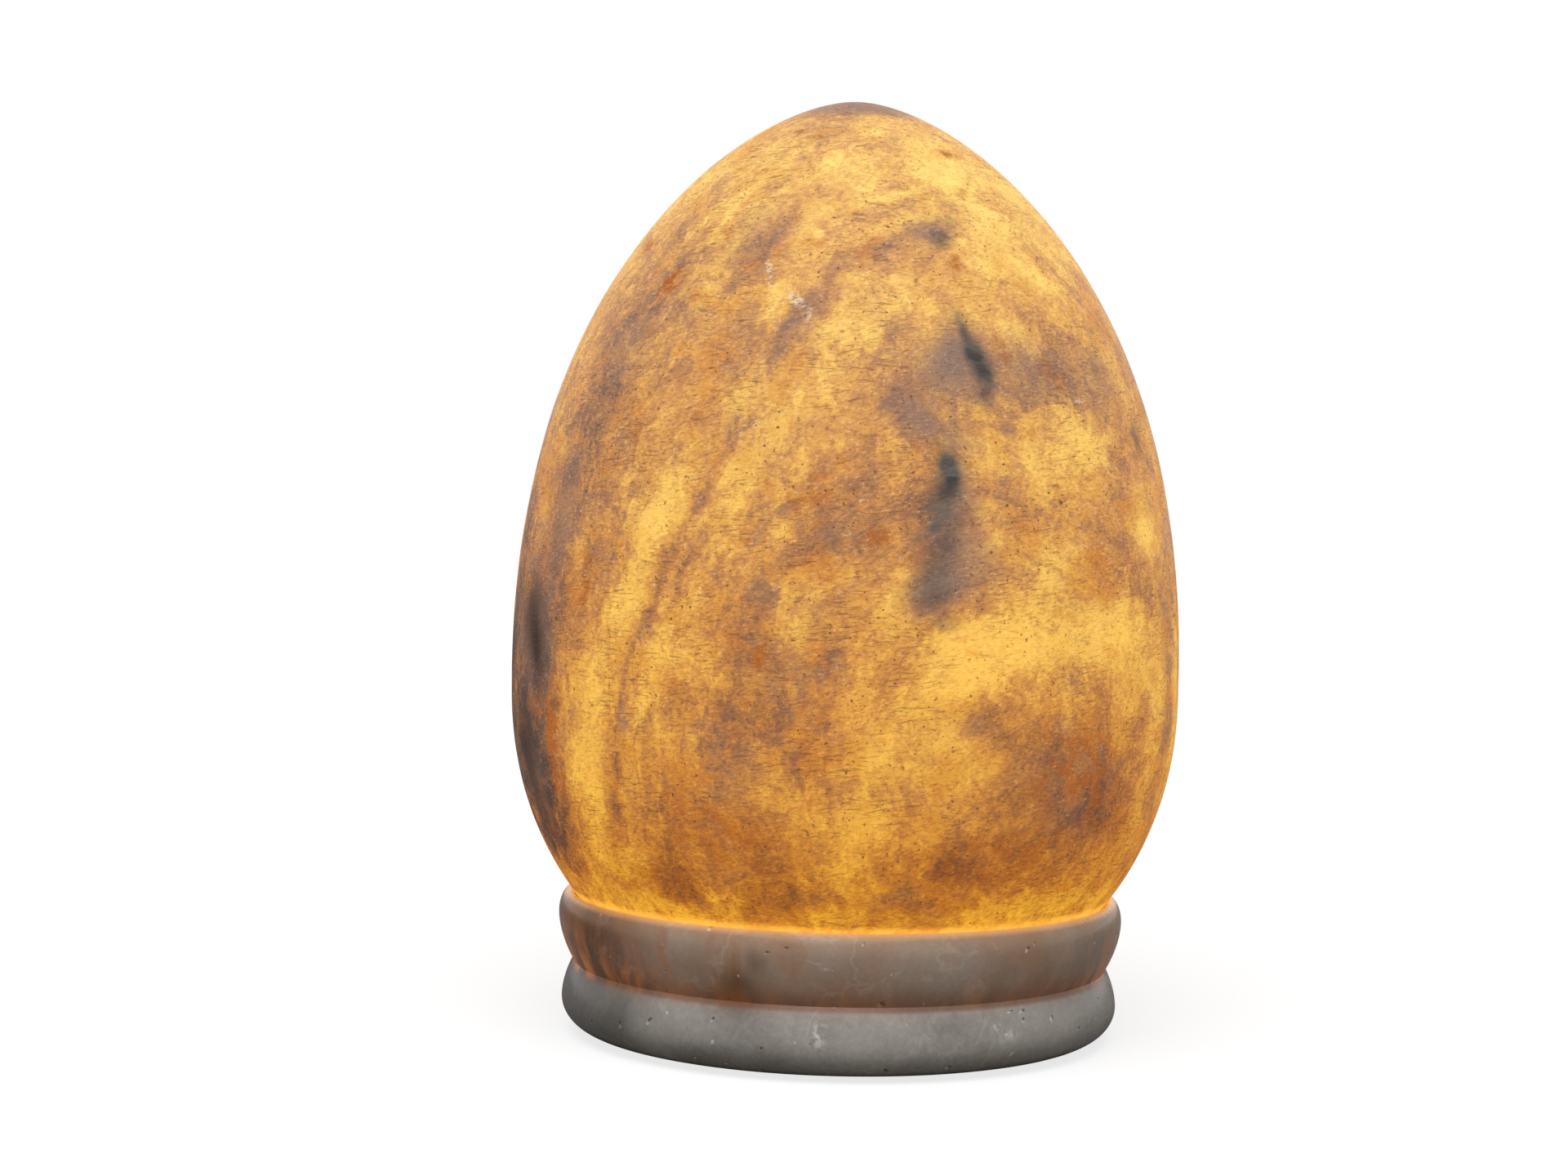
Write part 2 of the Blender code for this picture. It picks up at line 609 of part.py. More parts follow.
def holder_cap():
    """The lampholder's lower half: a boss on the tube, a dome, and a spigot for the skirt."""
    dome_height = BOSS_LENGTH + CAP_FLARE
    spigot = CAP_TOP - SPIGOT_LENGTH - CAP_BOTTOM
    cavity = SPIGOT_RADIUS - SPIGOT_WALL
    outline = [
        (HARDWARE_BORE, 0),
        (BOSS_RADIUS, 0),
        (BOSS_RADIUS, BOSS_LENGTH),
        (SKIRT_LOWER_RADIUS - CAP_FLARE, BOSS_LENGTH),
        (SKIRT_LOWER_RADIUS - CAP_FLARE / 4, BOSS_LENGTH + CAP_FLARE / 3),
        (SKIRT_LOWER_RADIUS, dome_height),
        (SKIRT_LOWER_RADIUS, spigot),
        (SPIGOT_RADIUS, spigot),
        (SPIGOT_RADIUS, CAP_LENGTH),
        (cavity, CAP_LENGTH),
        (cavity, BOSS_LENGTH + SKIRT_WALL),
        (HARDWARE_BORE, BOSS_LENGTH + SKIRT_WALL),
    ]
    cap = place("holder_cap", lathe(outline), HOLDER_WHITE, (0, 0, CAP_BOTTOM))
    height = BOSS_LENGTH / 2
    start = HARDWARE_BORE - CLEARANCE
    hole = rod(LOCK_SCREW_RADIUS + CLEARANCE, (start, 0, height), (2 * BOSS_RADIUS, 0, height))
    cut(cap, hole, "lock_screw_hole", (0, 0, CAP_BOTTOM))
    screw_start = (HARDWARE_BORE, 0, height)
    screw_end = (HARDWARE_BORE + LOCK_SCREW_LENGTH, 0, height)
    screw = place("cap_lock_screw", rod(LOCK_SCREW_RADIUS, screw_start, screw_end), ZINC, (0, 0, CAP_BOTTOM))
    slot = block((LOCK_SCREW_RADIUS / 2, 3 * LOCK_SCREW_RADIUS, LOCK_SCREW_RADIUS / 3), screw_end)
    cut(screw, slot, "lock_screw_slot", (0, 0, CAP_BOTTOM))


def holder_skirt():
    """The lampholder's outer shell, whose shoulder holds the core down on the cap."""
    bottom = SPIGOT_BOTTOM + CLEARANCE
    shoulder = CORE_TOP + CLEARANCE
    upper_radius = SKIRT_UPPER_BORE + SKIRT_WALL
    taper_top = shoulder + SKIRT_TAPER
    outline = [
        (SKIRT_LOWER_BORE, 0),
        (SKIRT_LOWER_RADIUS, 0),
        (SKIRT_LOWER_RADIUS, shoulder - bottom),
        (upper_radius, taper_top - bottom),
        (upper_radius, SKIRT_TOP - SKIRT_WALL / 2 - bottom),
        (upper_radius - SKIRT_WALL / 2, SKIRT_TOP - bottom),
        (SKIRT_UPPER_BORE, SKIRT_TOP - bottom),
        (SKIRT_UPPER_BORE, shoulder - bottom),
        (SKIRT_LOWER_BORE, shoulder - bottom),
    ]
    place("holder_skirt", lathe(outline, 32), HOLDER_WHITE, (0, 0, bottom))


def holder_core():
    """The porcelain insert, with a pocket for the tongue and a hole for each terminal's stud."""
    edge = CORE_HEIGHT / 8
    outline = [
        (0.0, 0.0),
        (CORE_RADIUS - edge, 0),
        (CORE_RADIUS, edge),
        (CORE_RADIUS, CORE_HEIGHT - edge),
        (CORE_RADIUS - edge, CORE_HEIGHT),
        (0.0, CORE_HEIGHT),
    ]
    core = place("holder_core", lathe(outline), PORCELAIN, (0, 0, CORE_BOTTOM))
    pocket = lathe(
        [(0.0, POCKET_FLOOR), (CORE_POCKET_RADIUS, POCKET_FLOOR), (CORE_POCKET_RADIUS, 2 * CORE_TOP), (0.0, 2 * CORE_TOP)]
    )
    cut(core, pocket, "contact_pocket")
    slot_end = TERMINAL_OFFSET + STUD_RADIUS + CLEARANCE + TONGUE_THICKNESS
    slot_size = (slot_end, TONGUE_WIDTH + 4 * CLEARANCE, 2 * CORE_POCKET_DEPTH)
    cut(core, block(slot_size, (-slot_end / 2, 0, POCKET_FLOOR + CORE_POCKET_DEPTH)), "tongue_slot")
    for side, name in ((-1, "centre_stud_hole"), (1, "side_stud_hole")):
        x = side * TERMINAL_OFFSET
        hole = rod(STUD_RADIUS + CLEARANCE, (x, 0, CORE_BOTTOM - CORE_HEIGHT / 2), (x, 0, CORE_TOP + CORE_HEIGHT / 2))
        cut(core, hole, name)


def screw_shell():
    """The brass shell with the E14 thread inside, open in its floor for the tongue."""
    thread_bottom = SHELL_THREAD_BOTTOM - SHELL_BOTTOM
    outline = [
        (SHELL_FLOOR_OPENING, 0),
        (SHELL_OUTER_RADIUS, 0),
        (SHELL_OUTER_RADIUS, SHELL_TOP - SHELL_BOTTOM),
        (SHELL_THREAD_RADIUS + THREAD_SWING, SHELL_TOP - SHELL_BOTTOM),
    ]
    outline += reversed(thread_rows(SHELL_THREAD_RADIUS, thread_bottom, THREAD_TURNS))
    outline += [(SHELL_THREAD_RADIUS - THREAD_SWING, SHELL_WALL), (SHELL_FLOOR_OPENING, SHELL_WALL)]
    bm = lathe(outline, THREAD_STEPS)
    bmesh.ops.translate(bm, verts=bm.verts, vec=(0, 0, SHELL_BOTTOM - BULB_TIP_HEIGHT))
    start = SHELL_THREAD_BOTTOM - BULB_TIP_HEIGHT
    roll_thread(bm, SHELL_THREAD_RADIUS, start, start + THREAD_LENGTH + 1e-6, THREAD_RUN_OUT)
    place("screw_shell", bm, BRASS, (0, 0, BULB_TIP_HEIGHT), sharp=math.radians(50))


def centre_contact():
    """The sprung tongue: a strip that lies in its slot and curls up under the bulb."""
    foot = TERMINAL_OFFSET + STUD_RADIUS
    knee = CORE_POCKET_RADIUS * 0.7
    low = TONGUE_FOOT_HEIGHT
    high = low + TONGUE_RISE
    path = [(-foot, low), (-knee, low)]
    for step in range(1, 5):
        angle = math.pi / 2 * step / 4
        path.append((-knee * math.cos(angle), low + TONGUE_RISE * math.sin(angle)))
    path.append((knee / 2, high - TONGUE_RISE / 8))
    place("centre_contact", strip(path, TONGUE_WIDTH, TONGUE_THICKNESS), COPPER)


def strip(path, width, thickness):
    """A bent strip along a path of (x, z) points, its middle line on the path."""
    bm = bmesh.new()
    left = []
    right = []
    for x, z in path:
        left.append(bm.verts.new((x, -width / 2, z)))
        right.append(bm.verts.new((x, width / 2, z)))
    for index in range(len(path) - 1):
        bm.faces.new((left[index], left[index + 1], right[index + 1], right[index]))
    bmesh.ops.recalc_face_normals(bm, faces=bm.faces)
    bmesh.ops.solidify(bm, geom=bm.faces[:], thickness=thickness)
    bmesh.ops.recalc_face_normals(bm, faces=bm.faces)
    lowest = min(vert.co.z for vert in bm.verts)
    shift = TONGUE_FOOT_HEIGHT - thickness / 2 - lowest
    bmesh.ops.translate(bm, verts=bm.verts, vec=(0, 0, shift))
    return bm


def terminals():
    """Two brass terminal blocks under the core, each with a stud up through it and a clamping screw."""
    block_top = CORE_BOTTOM - CLEARANCE
    block_bottom = block_top - TERMINAL_SIDE
    middle = (block_top + block_bottom) / 2
    ends = (
        ("centre_terminal", -1, TONGUE_FOOT_HEIGHT - TONGUE_THICKNESS / 2 - CLEARANCE),
        ("side_terminal", 1, SHELL_BOTTOM - CLEARANCE),
    )
    for name, side, stud_top in ends:
        x = side * TERMINAL_OFFSET
        body = block((TERMINAL_SIDE,) * 3, (x, 0, middle))
        terminal = place(name, body, BRASS)
        stud = place(name + "_stud", rod(STUD_RADIUS, (x, 0, middle), (x, 0, stud_top)), BRASS)
        stud.hide_render = True
        stud.display_type = "WIRE"
        union = terminal.modifiers.new("stud", "BOOLEAN")
        union.operation = "UNION"
        union.solver = "EXACT"
        union.object = stud
        wire_x = side * (TERMINAL_OFFSET - TERMINAL_SIDE / 4)
        wire_hole = rod(TERMINAL_HOLE_RADIUS / 2, (wire_x, -TERMINAL_SIDE, middle), (wire_x, TERMINAL_SIDE, middle), 8)
        cut(terminal, wire_hole, name + "_wire_hole")
        face = side * (TERMINAL_OFFSET + TERMINAL_SIDE / 2)
        screw_hole = rod(TERMINAL_SCREW_RADIUS + CLEARANCE, (wire_x, 0, middle), (2 * face, 0, middle), 8)
        cut(terminal, screw_hole, name + "_screw_hole")
        terminal_screw(name + "_screw", side, middle)


def terminal_screw(name, side, height):
    """A clamping screw, its shank and head turned in one, pointing inward."""
    face = TERMINAL_OFFSET + TERMINAL_SIDE / 2
    tip = TERMINAL_OFFSET - TERMINAL_SIDE / 4 + TERMINAL_HOLE_RADIUS / 2 + CLEARANCE
    head = face + CLEARANCE
    outline = [
        (0.0, tip),
        (TERMINAL_SCREW_RADIUS, tip),
        (TERMINAL_SCREW_RADIUS, head),
        (TERMINAL_SCREW_HEAD_RADIUS, head),
        (TERMINAL_SCREW_HEAD_RADIUS, head + TERMINAL_SCREW_HEAD),
        (0.0, head + TERMINAL_SCREW_HEAD),
    ]
    bm = lathe(outline, 12)
    turn = Matrix.Rotation(side * math.pi / 2, 3, "Y")
    bmesh.ops.rotate(bm, verts=bm.verts, cent=(0, 0, 0), matrix=turn)
    place(name, bm, ZINC, (0, 0, height))


def bulb_profile(radius, neck, bottom, neck_top, top):
    """The envelope's outline from the neck's lower end to the crown, widest a little over halfway."""
    widest = neck_top + (top - neck_top) * BULB_WIDEST_SHARE
    points = [(neck, bottom)]
    for step in range(BULB_FLARE_STEPS + 1):
        share = step / BULB_FLARE_STEPS
        swell = (1 - math.cos(math.pi * share)) / 2
        points.append((neck + (radius - neck) * swell, neck_top + (widest - neck_top) * share))
    for step in range(1, BULB_DOME_STEPS):
        angle = math.pi / 2 * step / BULB_DOME_STEPS
        points.append((radius * math.cos(angle), widest + (top - widest) * math.sin(angle)))
    points.append((0.0, top))
    return points


def bulb(turning, symmetric):
    """The pygmy bulb, on the empty that turns and, for its two middle pieces, on the one that only climbs."""
    insulator_bottom = TIP_HEIGHT + CLEARANCE
    insulator_top = insulator_bottom + INSULATOR_HEIGHT
    cap_bottom = insulator_bottom + INSULATOR_EXPOSED
    cap_bore = THREAD_RADIUS - THREAD_SWING - CAP_SHEET
    thread_bottom = cap_bottom + CAP_THREAD_LEAD
    thread_top = thread_bottom + (THREAD_TURNS + 1) * THREAD_PITCH
    cap_top = thread_top + CAP_COLLAR_LENGTH
    tip = [(0.0, 0.0), (TIP_RADIUS * 0.6, 0.0), (TIP_RADIUS, TIP_HEIGHT / 2), (TIP_RADIUS, TIP_HEIGHT), (0.0, TIP_HEIGHT)]
    place("bulb_tip_contact", lathe(tip), SOLDER, parent=symmetric)
    insulator_radius = cap_bore - CLEARANCE
    insulator = [
        (0.0, insulator_bottom),
        (INSULATOR_FACE_RADIUS, insulator_bottom),
        (insulator_radius, cap_bottom),
        (insulator_radius, insulator_top),
        (0.0, insulator_top),
    ]
    place("bulb_insulator", lathe(insulator), BLACK_GLASS, parent=symmetric)
    lip = THREAD_RADIUS - THREAD_SWING
    collar = THREAD_RADIUS + CAP_COLLAR_SWELL
    cap = [(cap_bore, cap_bottom), (lip, cap_bottom)]
    cap += thread_rows(THREAD_RADIUS, thread_bottom, THREAD_TURNS + 1)
    cap += [(collar, thread_top + CAP_COLLAR_LENGTH / 2), (collar, cap_top), (collar - 2 * CAP_SHEET, cap_top)]
    cap += [(collar - 2 * CAP_SHEET, cap_top - CAP_COLLAR_LENGTH / 3), (cap_bore, thread_top)]
    bm = lathe(cap, THREAD_STEPS)
    roll_thread(bm, THREAD_RADIUS, thread_bottom, thread_top + 1e-6, -THREAD_RUN_OUT)
    place("bulb_cap", bm, NICKEL, parent=turning, sharp=math.radians(50))
    glass_bottom = insulator_top + CLEARANCE
    wall = BULB_GLASS_WALL
    neck_top = cap_top + CLEARANCE
    outer = bulb_profile(BULB_RADIUS, BULB_NECK_RADIUS, glass_bottom, neck_top, BULB_LENGTH)
    inner = bulb_profile(BULB_RADIUS - wall, BULB_NECK_RADIUS - wall, glass_bottom, neck_top, BULB_LENGTH - wall)
    place("bulb_glass", lathe(list(reversed(inner)) + outer), BULB_GLASS, parent=turning)
    mount_and_filament(glass_bottom, turning)


def mount_and_filament(bottom, turning):
    """The glass stem, the two lead wires, the filament between them and the two hooks that hold it up."""
    flare = BULB_NECK_RADIUS - BULB_GLASS_WALL - CLEARANCE
    top = bottom + STEM_LENGTH
    radii = (flare, STEM_RADIUS, STEM_RADIUS, STEM_PINCH_RADIUS)
    stem = [(0.0, bottom), (flare, bottom)]
    stem += [(radius, bottom + STEM_LENGTH * share) for radius, share in zip(radii, STEM_SHARES)]
    stem += [(STEM_PINCH_RADIUS, top), (0.0, top)]
    place("bulb_stem", lathe(stem, 16), BULB_GLASS, parent=turning)
    wire_foot = top + CLEARANCE
    wire_top = wire_foot + WIRE_LENGTH
    start = STEM_PINCH_RADIUS - WIRE_RADIUS
    for side, which in ((-1, "1"), (1, "2")):
        knee = (side * start, 0, wire_foot + WIRE_LENGTH / 4)
        lead = [(side * start, 0, wire_foot), knee, (side * WIRE_SPREAD, 0, wire_top)]
        wire("lead_wire_" + which, lead, WIRE_RADIUS, NICKEL, turning)
    reach = WIRE_SPREAD - WIRE_RADIUS
    filament_height = wire_top + CLEARANCE + FILAMENT_RADIUS
    count = 8
    path = []
    for step in range(count + 1):
        along = step / count * 2 - 1
        path.append((along * reach, -FILAMENT_SAG * (1 - along**2), filament_height))
    wire("filament", path, FILAMENT_RADIUS, TUNGSTEN, turning)
    hook_radius = WIRE_RADIUS / 2
    hook_top = filament_height - FILAMENT_RADIUS - CLEARANCE - hook_radius
    for side, which in ((-1, "1"), (1, "2")):
        tip = (side * reach * HOOK_SHARE, -FILAMENT_SAG * (1 - HOOK_SHARE**2), hook_top)
        wire("filament_support_" + which, [(side * 2 * WIRE_RADIUS, 0, wire_foot), tip], hook_radius, NICKEL, turning)


def build_lamp():
    remove_everything()
    egg_shell()
    base = onyx_base()
    grommet_hole(base)
    felt_pad()
    cord_grommet()
    tube_hardware()
    holder_cap()
    holder_core()
    holder_skirt()
    screw_shell()
    centre_contact()
    terminals()
    climbing = axis_empty("bulb_climb_axis", (0, 0, BULB_TIP_HEIGHT))
    turning = axis_empty("bulb_turn_axis", (0, 0, 0))
    turning.parent = climbing
    bulb(turning, climbing)
    print("egg lift", round(BULB_TOP - MOUTH_HEIGHT + LIFT_MARGIN, 4), "bulb tip", round(BULB_TIP_HEIGHT, 5))


build_lamp()
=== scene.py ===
"""Dresses the onyx egg lamp: finer stone, a lit bulb in its holder, and a plain pale studio."""

import math

import bmesh
import bpy
from mathutils import Matrix, Vector, noise


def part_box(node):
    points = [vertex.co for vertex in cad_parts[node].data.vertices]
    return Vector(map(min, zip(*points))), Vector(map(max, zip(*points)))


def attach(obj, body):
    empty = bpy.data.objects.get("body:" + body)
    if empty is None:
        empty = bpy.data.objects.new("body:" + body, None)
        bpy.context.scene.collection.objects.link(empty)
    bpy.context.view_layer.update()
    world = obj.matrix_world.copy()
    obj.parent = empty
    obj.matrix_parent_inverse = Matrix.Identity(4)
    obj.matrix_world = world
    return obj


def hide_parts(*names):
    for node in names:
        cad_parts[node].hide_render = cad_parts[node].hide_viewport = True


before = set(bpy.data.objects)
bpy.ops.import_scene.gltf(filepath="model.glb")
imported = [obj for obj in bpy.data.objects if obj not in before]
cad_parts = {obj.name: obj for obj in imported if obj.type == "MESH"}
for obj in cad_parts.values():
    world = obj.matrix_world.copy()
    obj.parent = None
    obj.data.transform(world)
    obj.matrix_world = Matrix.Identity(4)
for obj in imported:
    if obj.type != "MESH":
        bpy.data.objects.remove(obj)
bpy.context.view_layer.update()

bl_info = {
    "name": "Onyx egg lamp",
    "version": (1, 0, 0),
    "blender": (4, 5, 0),
    "location": "View3D > Sidebar > Egg lamp",
    "description": "Builds the visible pieces of a glowing onyx egg lamp and its studio",
    "category": "Object",
}

MM = 0.001


def paint(red, green, blue):
    """A screen colour of 0 to 255 as the linear colour that a shader takes."""
    levels = [channel / 255 for channel in (red, green, blue)]
    return tuple(v / 12.92 if v <= 0.04045 else ((v + 0.055) / 1.055) ** 2.4 for v in levels)


# Sizes and colours that a user may change


def length(name, description, default):
    """A length in metres."""
    return bpy.props.FloatProperty(name=name, description=description, default=default, unit="LENGTH")


def turned_by(name, description, default):
    """An angle in radians."""
    return bpy.props.FloatProperty(name=name, description=description, default=default, subtype="ANGLE")


def amount(name, description, default):
    """A plain number."""
    return bpy.props.FloatProperty(name=name, description=description, default=default)


def tint(name, description, default):
    """A colour."""
    return bpy.props.FloatVectorProperty(name=name, description=description, default=default, subtype="COLOR")


class EggSizes(bpy.types.PropertyGroup):
    """The carved egg."""

    height: length("Height", "Top of the egg above the shelf", 0.210)
    radius: length("Radius", "Widest radius of the egg", 0.0753)
    waist: length("Waist height", "Height of the widest ring", 0.0778)
    mouth: length("Mouth height", "Height of the flat cut below", 0.0257)
    wall: length("Wall", "Thickness of the stone", 0.0085)
    crown: length("Crown", "Thickness of the stone at the top", 0.0135)
    unevenness: length("Unevenness", "Depth of the hand-carved waves", 0.00025)
    glow: amount("Glow", "Strength of the light through the stone", 0.74)


class BaseSizes(bpy.types.PropertyGroup):
    """The turned stone base."""

    rim_height: length("Rim height", "Top of the base", 0.0318)
    upper_crest: length("Upper bead height", "Height of the upper bead's crest", 0.0269)
    groove: length("Groove height", "Height of the groove between the beads", 0.0162)
    lower_crest: length("Lower bead height", "Height of the lower bead's crest", 0.0077)
    upper_radius: length("Upper bead radius", "Crest radius of the upper bead", 0.0637)
    groove_radius: length("Groove radius", "Radius at the bottom of the groove", 0.0603)
    lower_radius: length("Lower bead radius", "Crest radius of the lower bead", 0.0628)
    stone: tint("Grey stone", "Main colour of the base", paint(170, 165, 157))


class HolderSizes(bpy.types.PropertyGroup):
    """The lampholder, its hardware and the bulb."""

    plastic: tint("Holder colour", "Moulded plastic of the lampholder", paint(226, 222, 210))
    filament_light: amount("Filament light", "Strength of the filament's own light", 12.0)
    pitch: length("Thread pitch", "Climb of the lamp thread in one turn", 0.002822)


class StageSizes(bpy.types.PropertyGroup):
    """Camera, floor and light."""

    distance: length("Distance", "Camera in front of the lamp's axis", 0.700)
    eye_height: length("Eye height", "Camera above the shelf", 0.135)
    pitch: turned_by("Pitch", "How far the camera looks down", 0.0493)
    pan: turned_by("Pan", "How far the camera looks past the lamp's left", 0.0202)
    roll: turned_by("Roll", "Tilt of the camera", 0.020)
    focal: amount("Focal length", "Lens in millimetres", 71.05)
    air_light: amount("Air light", "Soft light from all round", 0.20)
    key_light: amount("Key light", "Light from the upper front", 2.5)
    floor_grey: amount("Floor grey", "Share of light that the floor returns", 0.28)


def sizes(kind):
    """The scene's settings of one kind."""
    return getattr(bpy.context.scene, "egg_lamp_" + kind)


# Shader expressions


class Flow:
    """A number that runs through a material's nodes, so that shader maths reads as Python."""

    def __init__(self, finish, socket):
        self.finish = finish
        self.socket = socket

    def math(self, operation, *others):
        return self.finish.node("ShaderNodeMath", {"operation": operation}, dict(enumerate((self, *others))))

    def __add__(self, other):
        return self.math("ADD", other)

    __radd__ = __add__

    def __sub__(self, other):
        return self.math("SUBTRACT", other)

    def __rsub__(self, other):
        return self.finish.node("ShaderNodeMath", {"operation": "SUBTRACT"}, {0: other, 1: self})

    def __mul__(self, other):
        return self.math("MULTIPLY", other)

    __rmul__ = __mul__

    def __truediv__(self, other):
        return self.math("DIVIDE", other)

    def __abs__(self):
        return self.math("ABSOLUTE")

    def most(self, other):
        return self.math("MAXIMUM", other)


class NodeTree:
    """A node tree that grows by one method."""

    def __init__(self, tree):
        self.tree = tree

    def node(self, kind, settings, values, output=0):
        """Adds a node: its settings first, then a value or a link for each named socket."""
        made = self.tree.nodes.new(kind)
        for key, value in settings.items():
            if key == "stops":
                self.fill_ramp(made.color_ramp, value)
            else:
                setattr(made, key, value)
        for key, value in values.items():
            self.feed(made.inputs[key], value)
        return Flow(self, made.outputs[output])

    def feed(self, socket, value):
        """Links a flow into a socket, or sets the socket's own value."""
        if isinstance(value, Flow):
            self.tree.links.new(value.socket, socket)
        elif isinstance(value, (tuple, list)) and socket.type == "RGBA":
            socket.default_value = (*value[:3], 1)
        else:
            socket.default_value = value

    @staticmethod
    def fill_ramp(ramp, stops):
        while len(ramp.elements) < len(stops):
            ramp.elements.new(0.5)
        for element, (position, colour) in zip(ramp.elements, stops):
            element.position = position
            element.color = (*colour, 1)


class Finish(NodeTree):
    """One procedural material, built round its Principled shader."""

    def __init__(self, name, roughness=0.5, metallic=0.0):
        self.material = bpy.data.materials.new(name)
        self.material.use_nodes = True
        super().__init__(self.material.node_tree)
        self.shader = self.tree.nodes["Principled BSDF"]
        self.set("Roughness", roughness)
        self.set("Metallic", metallic)
        self.place = self.node("ShaderNodeTexCoord", {}, {}, "Object")

    def set(self, socket, value):
        """Sets or links a socket of the shader."""
        self.feed(self.shader.inputs[socket], value)

    def noise(self, scale, detail=4.0, roughness=0.5, vector=None, distortion=0.0, output="Fac"):
        values = {"Vector": vector or self.place, "Scale": scale, "Detail": detail}
        values.update({"Roughness": roughness, "Distortion": distortion})
        return self.node("ShaderNodeTexNoise", {}, values, output)

    def cells(self, scale, vector=None, output="Distance"):
        values = {"Vector": vector or self.place, "Scale": scale}
        return self.node("ShaderNodeTexVoronoi", {}, values, output)

    def rise(self, value, low, high, start=0.0, end=1.0):
        """A smooth step from start to end while the value goes from low to high."""
        settings = {"interpolation_type": "SMOOTHSTEP"}
        values = {"Value": value, "From Min": low, "From Max": high, "To Min": start, "To Max": end}
        return self.node("ShaderNodeMapRange", settings, values)

    def ramp(self, value, stops):
        return self.node("ShaderNodeValToRGB", {"stops": stops}, {"Fac": value}, "Color")

    def mix(self, factor, first, second):
        """A colour between two others."""
        settings = {"data_type": "RGBA", "clamp_factor": True}
        return self.node("ShaderNodeMix", settings, {0: factor, 6: first, 7: second}, 2)

    def vector(self, operation, first, second, output=0):
        return self.node("ShaderNodeVectorMath", {"operation": operation}, {0: first, 1: second}, output)

    def scaled(self, vector, factor):
        return self.node("ShaderNodeVectorMath", {"operation": "SCALE"}, {0: vector, "Scale": factor})

    def parts(self, vector=None):
        """The x, y and z of a vector as three numbers."""
        split = self.node("ShaderNodeSeparateXYZ", {}, {0: vector or self.place})
        outputs = split.socket.node.outputs
        return [Flow(self, outputs[axis]) for axis in range(3)]

    def joined(self, x, y, z):
        return self.node("ShaderNodeCombineXYZ", {}, {0: x, 1: y, 2: z})

    def turned(self, rotation, vector=None):
        """The place, turned about the origin."""
        return self.node("ShaderNodeMapping", {}, {"Vector": vector or self.place, "Rotation": rotation})

    def warped(self, scale, reach, vector=None, detail=3.0):
        """The place, pushed about by coloured noise."""
        base = vector or self.place
        push = self.noise(scale, detail, 0.55, vector=base, output="Color")
        centred = self.vector("SUBTRACT", push, (0.5, 0.5, 0.5))
        return self.vector("ADD", base, self.scaled(centred, reach))

    def spot(self, vector, centre, radii):
        """1 at the centre of an ellipsoid, falling softly to 0 at its surface. Sizes are in millimetres."""
        location, scale = Vector(centre) * MM, Vector(radii) * MM
        values = {"Vector": vector, "Location": location, "Scale": scale}
        near = self.node("ShaderNodeMapping", {"vector_type": "TEXTURE"}, values)
        far = self.vector("LENGTH", near, (0, 0, 0), "Value")
        return self.rise(far, 0.0, 1.0, 1.0, 0.0)

    def bump(self, height, strength, distance):
        values = {"Height": height, "Strength": strength, "Distance": distance}
        return self.node("ShaderNodeBump", {}, values, "Normal")


# Steps round a small turned piece, round a fitting that shows, and round a softened corner
COARSE = 48
FINE = 96
CORNER_STEPS = 4

# Points closer than this, in metres, are one point
SAME_PLACE = 1e-7


def put_on(piece, finish):
    """Gives a piece one finish all over."""
    piece.data.materials.clear()
    piece.data.materials.append(finish.material)


# Shapes


def lathe(outline, steps):
    """Turns a closed outline of (radius, height) round Z. One that starts on the axis stays open there."""
    bm = bmesh.new()
    corners = [bm.verts.new((radius, 0, height)) for radius, height in outline]
    follow = corners[1:]
    if outline[0][0] > 0:
        follow = follow + corners[:1]
    edges = [bm.edges.new(pair) for pair in zip(corners, follow)]
    bmesh.ops.spin(
        bm, geom=corners + edges, cent=(0, 0, 0), axis=(0, 0, 1), angle=math.tau, steps=steps, use_merge=True
    )
    bmesh.ops.remove_doubles(bm, verts=bm.verts, dist=SAME_PLACE)
    bmesh.ops.recalc_face_normals(bm, faces=bm.faces)
    return bm


def linked(name, data):
    """A new object in the scene."""
    made = bpy.data.objects.new(name, data)
    bpy.context.scene.collection.objects.link(made)
    return made


def shaped(name, bm):
    """A new object that holds the shape."""
    mesh = bpy.data.meshes.new(name)
    bm.to_mesh(mesh)
    bm.free()
    return linked(name, mesh)


def shade(mesh, sharp):
    """Smooth shading, with edges over that angle in degrees left sharp."""
    mesh.shade_smooth()
    mesh.set_sharp_from_angle(angle=math.radians(sharp))


def finished(name, node, bm, finish, body, sharp):
    """A finer piece in place of one solid, on the body that it rides on."""
    piece = shaped(name, bm)
    shade(piece.data, sharp)
    put_on(piece, finish)
    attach(piece, body)
    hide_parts(node)
    return piece


def softened(outline, ease):
    """The outline with each corner off the axis rounded, at most that far from the corner."""
    points = []
    for index, corner in enumerate(outline):
        here = Vector(corner)
        if here.x == 0:
            points.append(corner)
            continue
        back = Vector(outline[index - 1]) - here
        ahead = Vector(outline[(index + 1) % len(outline)]) - here
        reach = min(ease, back.length / 3, ahead.length / 3)
        start = here + back.normalized() * reach
        end = here + ahead.normalized() * reach
        for step in range(CORNER_STEPS + 1):
            share = step / CORNER_STEPS
            points.append(tuple(start.lerp(here, share).lerp(here.lerp(end, share), share)))
    return points


def quarter(start, end, steps, outward_first):
    """Points of a quarter ellipse, the start left out."""
    points = []
    for step in range(1, steps + 1):
        angle = math.pi / 2 * step / steps
        near, far = math.sin(angle), 1 - math.cos(angle)
        across, up = (near, far) if outward_first else (far, near)
        points.append((start[0] + (end[0] - start[0]) * across, start[1] + (end[1] - start[1]) * up))
    return points


